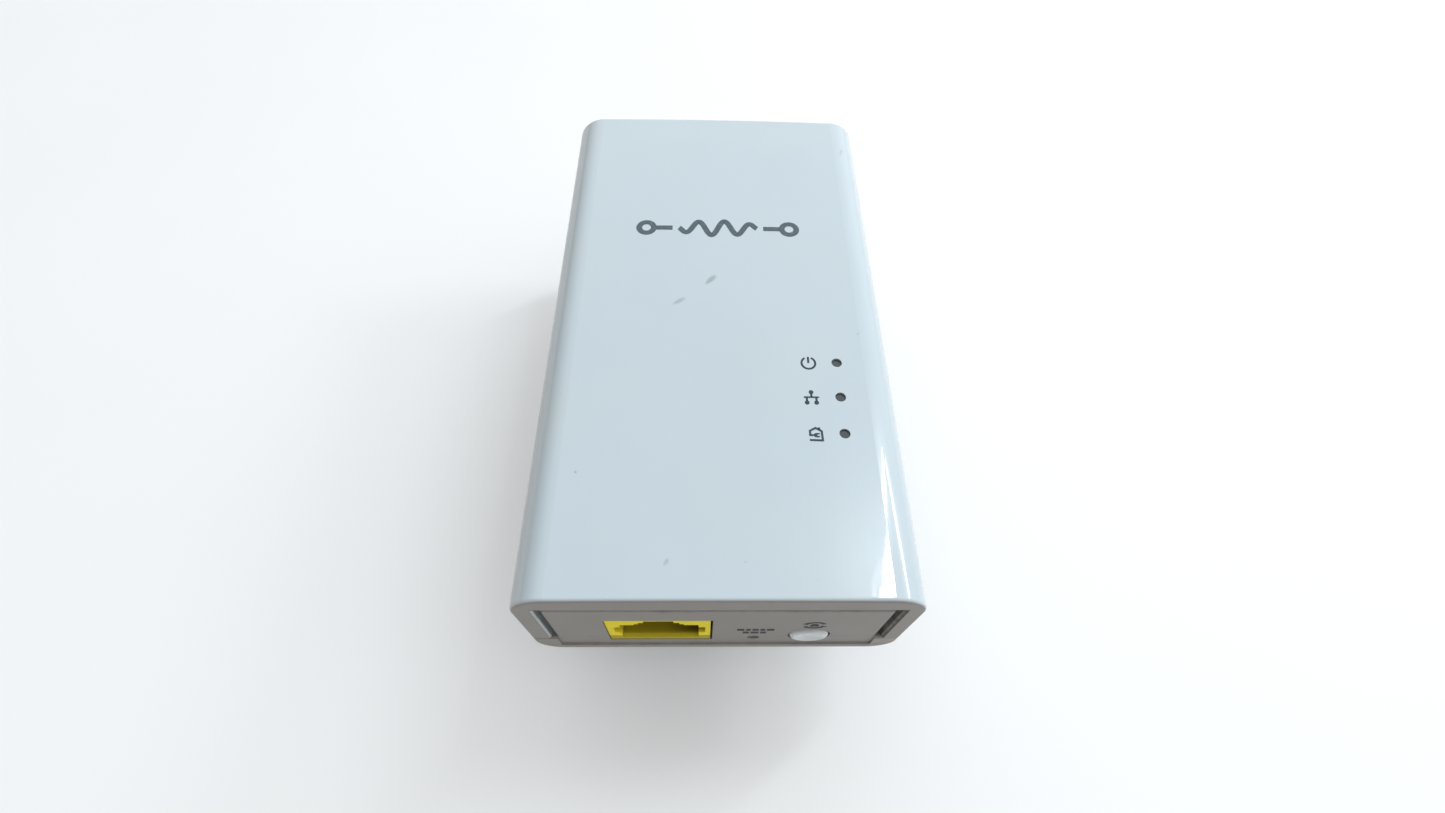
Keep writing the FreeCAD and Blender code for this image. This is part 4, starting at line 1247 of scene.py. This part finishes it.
def inner_finishes() -> dict[str, Finish]:
    """The finish of each record slot on and around the boards."""
    return {
        "switch_black": Plastic(
            "switch_black", (0.025, 0.025, 0.028), (0.05, 0.05, 0.05), 0.45, cloud_size=2.0),
        "lamp_white": Smoked("lamp_resin", (0.85, 0.80, 0.55), (0.95, 0.93, 0.80)),
        "board_green": BoardFinish(),
        "chip_black": Plastic(
            "moulded_epoxy", (0.018, 0.018, 0.02), (0.05, 0.05, 0.052), 0.5,
            cloud_size=1.2, grain_size=0.1, grain_depth=0.008),
        "pad_grey": Plastic(
            "silicone_pad", (0.28, 0.34, 0.44), (0.36, 0.42, 0.50), 0.7, cloud_size=1.5),
        "sink_aluminium": Metal(
            "extruded_aluminium", (0.78, 0.79, 0.80), (0.55, 0.56, 0.57), 0.35, Brush.ALONG_Y),
        "film_yellow": Plastic(
            "potting_yellow", (0.75, 0.55, 0.03), (0.62, 0.44, 0.02), 0.4, cloud_size=3.0),
        "disc_blue": Plastic(
            "dipped_blue", (0.02, 0.09, 0.36), (0.04, 0.14, 0.45), 0.3,
            cloud_size=1.5, grain_size=1.2, grain_depth=0.05),
        "fuse_ceramic": Plastic(
            "fuse_ceramic", (0.72, 0.69, 0.62), (0.60, 0.57, 0.50), 0.4, cloud_size=1.5),
        "ferrite": Plastic(
            "ferrite", (0.03, 0.03, 0.033), (0.07, 0.065, 0.06), 0.6,
            cloud_size=1.0, grain_size=0.12, grain_depth=0.012),
        "winding_copper": Ridged(
            "enamelled_copper", (0.72, 0.30, 0.10), (0.25, 0.08, 0.03), 0.45, "z", 0.12, 0.3, 0.85),
        "can_sleeve": Plastic(
            "can_sleeve", (0.02, 0.022, 0.07), (0.04, 0.045, 0.11), 0.28, cloud_size=2.0, coat=0.4),
        "header_black": Plastic(
            "header_black", (0.02, 0.02, 0.02), (0.05, 0.05, 0.05), 0.4, cloud_size=1.5),
    }


@dataclass
class Dress:
    """Gives every CAD node that stays its finish."""

    finishes: dict[str, Finish] = field(default_factory=lambda: outer_finishes() | inner_finishes())

    def build(self) -> dict[str, bpy.types.Material]:
        """Make every finish and put it on its nodes.

        Returns:
            The material of each slot.
        """
        made = {slot: finish.build() for slot, finish in self.finishes.items()}
        for part in frame["record"]["subparts"]:
            node = frame["nodes"][part["node"]]
            for place in node.material_slots:
                place.material = made[part["material_slot"]]
            LOG.info("%s: CAD node in %s", part["node"], part["material_slot"])
        return made


# ---- studio ----------------------------------------------------------------------------------

@dataclass
class Studio:
    """Floor, soft light and the camera."""

    floor_gap: float = 0.0004
    floor_reach: float = 6.0
    eye: Triple = (-0.00248, -0.0933, 0.11718)
    pitch: float = 58.31
    yaw: float = -3.07
    roll: float = 3.03
    lens: float = 16.99
    bright_axis: Triple = (0.42, 0.50, 0.76)
    bright: Colour = (0.93, 0.97, 1.0)
    dim: Colour = (0.155, 0.13, 0.11)
    backdrop: Colour = (0.90, 0.91, 0.92)
    dome_strength: float = 1.37
    dome_from: float = 0.0
    dome_to: float = 0.85
    lamp_colour: Colour = (0.90, 0.97, 1.0)
    lamp_aim: Triple = (0.02, -0.05, 0.026)

    def floor(self) -> None:
        """A pale sheet just under the earth pin's tip."""
        level = CAD_BOX[0][2] - self.floor_gap
        u = np.linspace(-self.floor_reach, self.floor_reach, 9)
        xx, yy = np.meshgrid(u, u)
        points = np.stack([xx, yy, np.full_like(xx, level)], axis=-1).reshape(-1, 3)
        mesh = bpy.data.meshes.new("studio_floor")
        mesh.from_pydata(points.tolist(), [], grid_faces(9, 9).tolist())
        mesh.materials.append(FloorFinish().build())
        sheet = bpy.data.objects.new("studio_floor", mesh)
        bpy.context.scene.collection.objects.link(sheet)

    def lamp(self, name: str, start: Triple, end: Triple, width: float, power: float) -> None:
        """A soft strip lamp that faces the adapter.

        Args:
            name: the lamp's name.
            start: the middle of one short side, in metres.
            end: the middle of the other short side, in metres.
            width: the strip's width in metres.
            power: its power in watts.
        """
        run = Vector(end) - Vector(start)
        middle = (Vector(start) + Vector(end)) / 2
        along = run.normalized()
        back = middle - Vector(self.lamp_aim)
        back = (back - along * back.dot(along)).normalized()
        data = bpy.data.lights.new(name, "AREA")
        data.shape = "ELLIPSE"
        data.size, data.size_y = run.length, width
        data.energy, data.color = power, self.lamp_colour
        lamp = bpy.data.objects.new(name, data)
        facing = Matrix((along, back.cross(along), back)).transposed().to_4x4()
        lamp.matrix_world = Matrix.Translation(middle) @ facing
        bpy.context.scene.collection.objects.link(lamp)

    def lights(self) -> None:
        """Four windows to the right for the gloss lines; the dome does the rest."""
        self.lamp("window_low", (0.202, 0.092, 0.627), (0.216, 0.150, 0.627), 0.026, 0.08)
        self.lamp("window_near", (0.214, 0.100, 0.627), (0.228, 0.196, 0.627), 0.014, 0.095)
        self.lamp("window_slant", (0.212, 0.152, 0.627), (0.548, 0.362, 0.627), 0.038, 0.85)
        self.lamp("window_slim", (0.40, 0.046, 0.245), (0.40, 0.219, 0.405), 0.032, 0.45)

    def dome(self) -> None:
        """A soft dome: cool and bright above, behind and to the right, warm and dim in front.

        The camera itself sees a plain pale backdrop.

        Formula: brightness climbs smoothly with the direction's share along the bright axis.
        """
        world = bpy.data.worlds.new("studio_dome")
        world.use_nodes = True
        air = Graph(world.node_tree)
        heading = air.node("TexCoord").outputs["Generated"]
        share = air.node("VectorMath", {"operation": "DOT_PRODUCT"}, {0: heading, 1: self.bright_axis})
        climb = Level(air, share.outputs["Value"]).step(self.dome_from, self.dome_to)
        glow = {"Color": air.mix(climb, self.dim, self.bright), "Strength": self.dome_strength}
        dome = air.node("Background", {}, glow).outputs[0]
        backdrop = air.node("Background", {}, {"Color": self.backdrop}).outputs[0]
        ray = air.node("LightPath").outputs["Is Camera Ray"]
        seen = air.node("MixShader", {}, {0: ray, 1: dome, 2: backdrop})
        air.node("OutputWorld", {}, {"Surface": seen.outputs[0]})
        bpy.context.scene.world = world

    def camera(self) -> None:
        """A wide lens close over the port end, looking down along the adapter."""
        pitch, yaw, roll = (math.radians(a) for a in (self.pitch, self.yaw, self.roll))
        turn = Matrix.Rotation(yaw, 3, "Z")
        ahead = turn @ Vector((0.0, math.cos(pitch), -math.sin(pitch)))
        up = turn @ Vector((0.0, math.sin(pitch), math.cos(pitch)))
        right = turn @ Vector((1.0, 0.0, 0.0))
        side = math.cos(roll) * right + math.sin(roll) * up
        rise = -math.sin(roll) * right + math.cos(roll) * up
        data = bpy.data.cameras.new("camera")
        data.sensor_width, data.lens = 36.0, self.lens
        data.clip_start, data.clip_end = 0.003, 50.0
        camera = bpy.data.objects.new("camera", data)
        facing = Matrix((side, rise, -ahead)).transposed().to_4x4()
        camera.matrix_world = Matrix.Translation(Vector(self.eye)) @ facing
        bpy.context.scene.collection.objects.link(camera)
        bpy.context.scene.camera = camera

    def build(self) -> None:
        """Set the floor, the lights and the camera."""
        self.floor()
        self.lights()
        self.dome()
        self.camera()
        bpy.context.scene.view_settings.view_transform = "Standard"


def main() -> None:
    """Dress the frame, add the pieces and set up the studio."""
    logging.basicConfig(level=logging.INFO, format="%(name)s %(message)s")
    made = Dress().build()
    label_ink = Ink("label_ink", (0.045, 0.07, 0.085), (0.20, 0.24, 0.27)).build()
    emblem_ink = Ink("emblem_ink", (0.10, 0.13, 0.15), (0.34, 0.38, 0.41)).build()
    panel_ink = Ink("panel_ink", (0.012, 0.012, 0.015), (0.07, 0.065, 0.06)).build()
    LabelPrint(label_ink, emblem_ink).build()
    PortPrint(panel_ink).build()
    Choke(made["ferrite"], made["winding_copper"]).build()
    CapacitorTops(made["sink_aluminium"]).build()
    Studio().build()


if __name__ == "__main__":
    main()
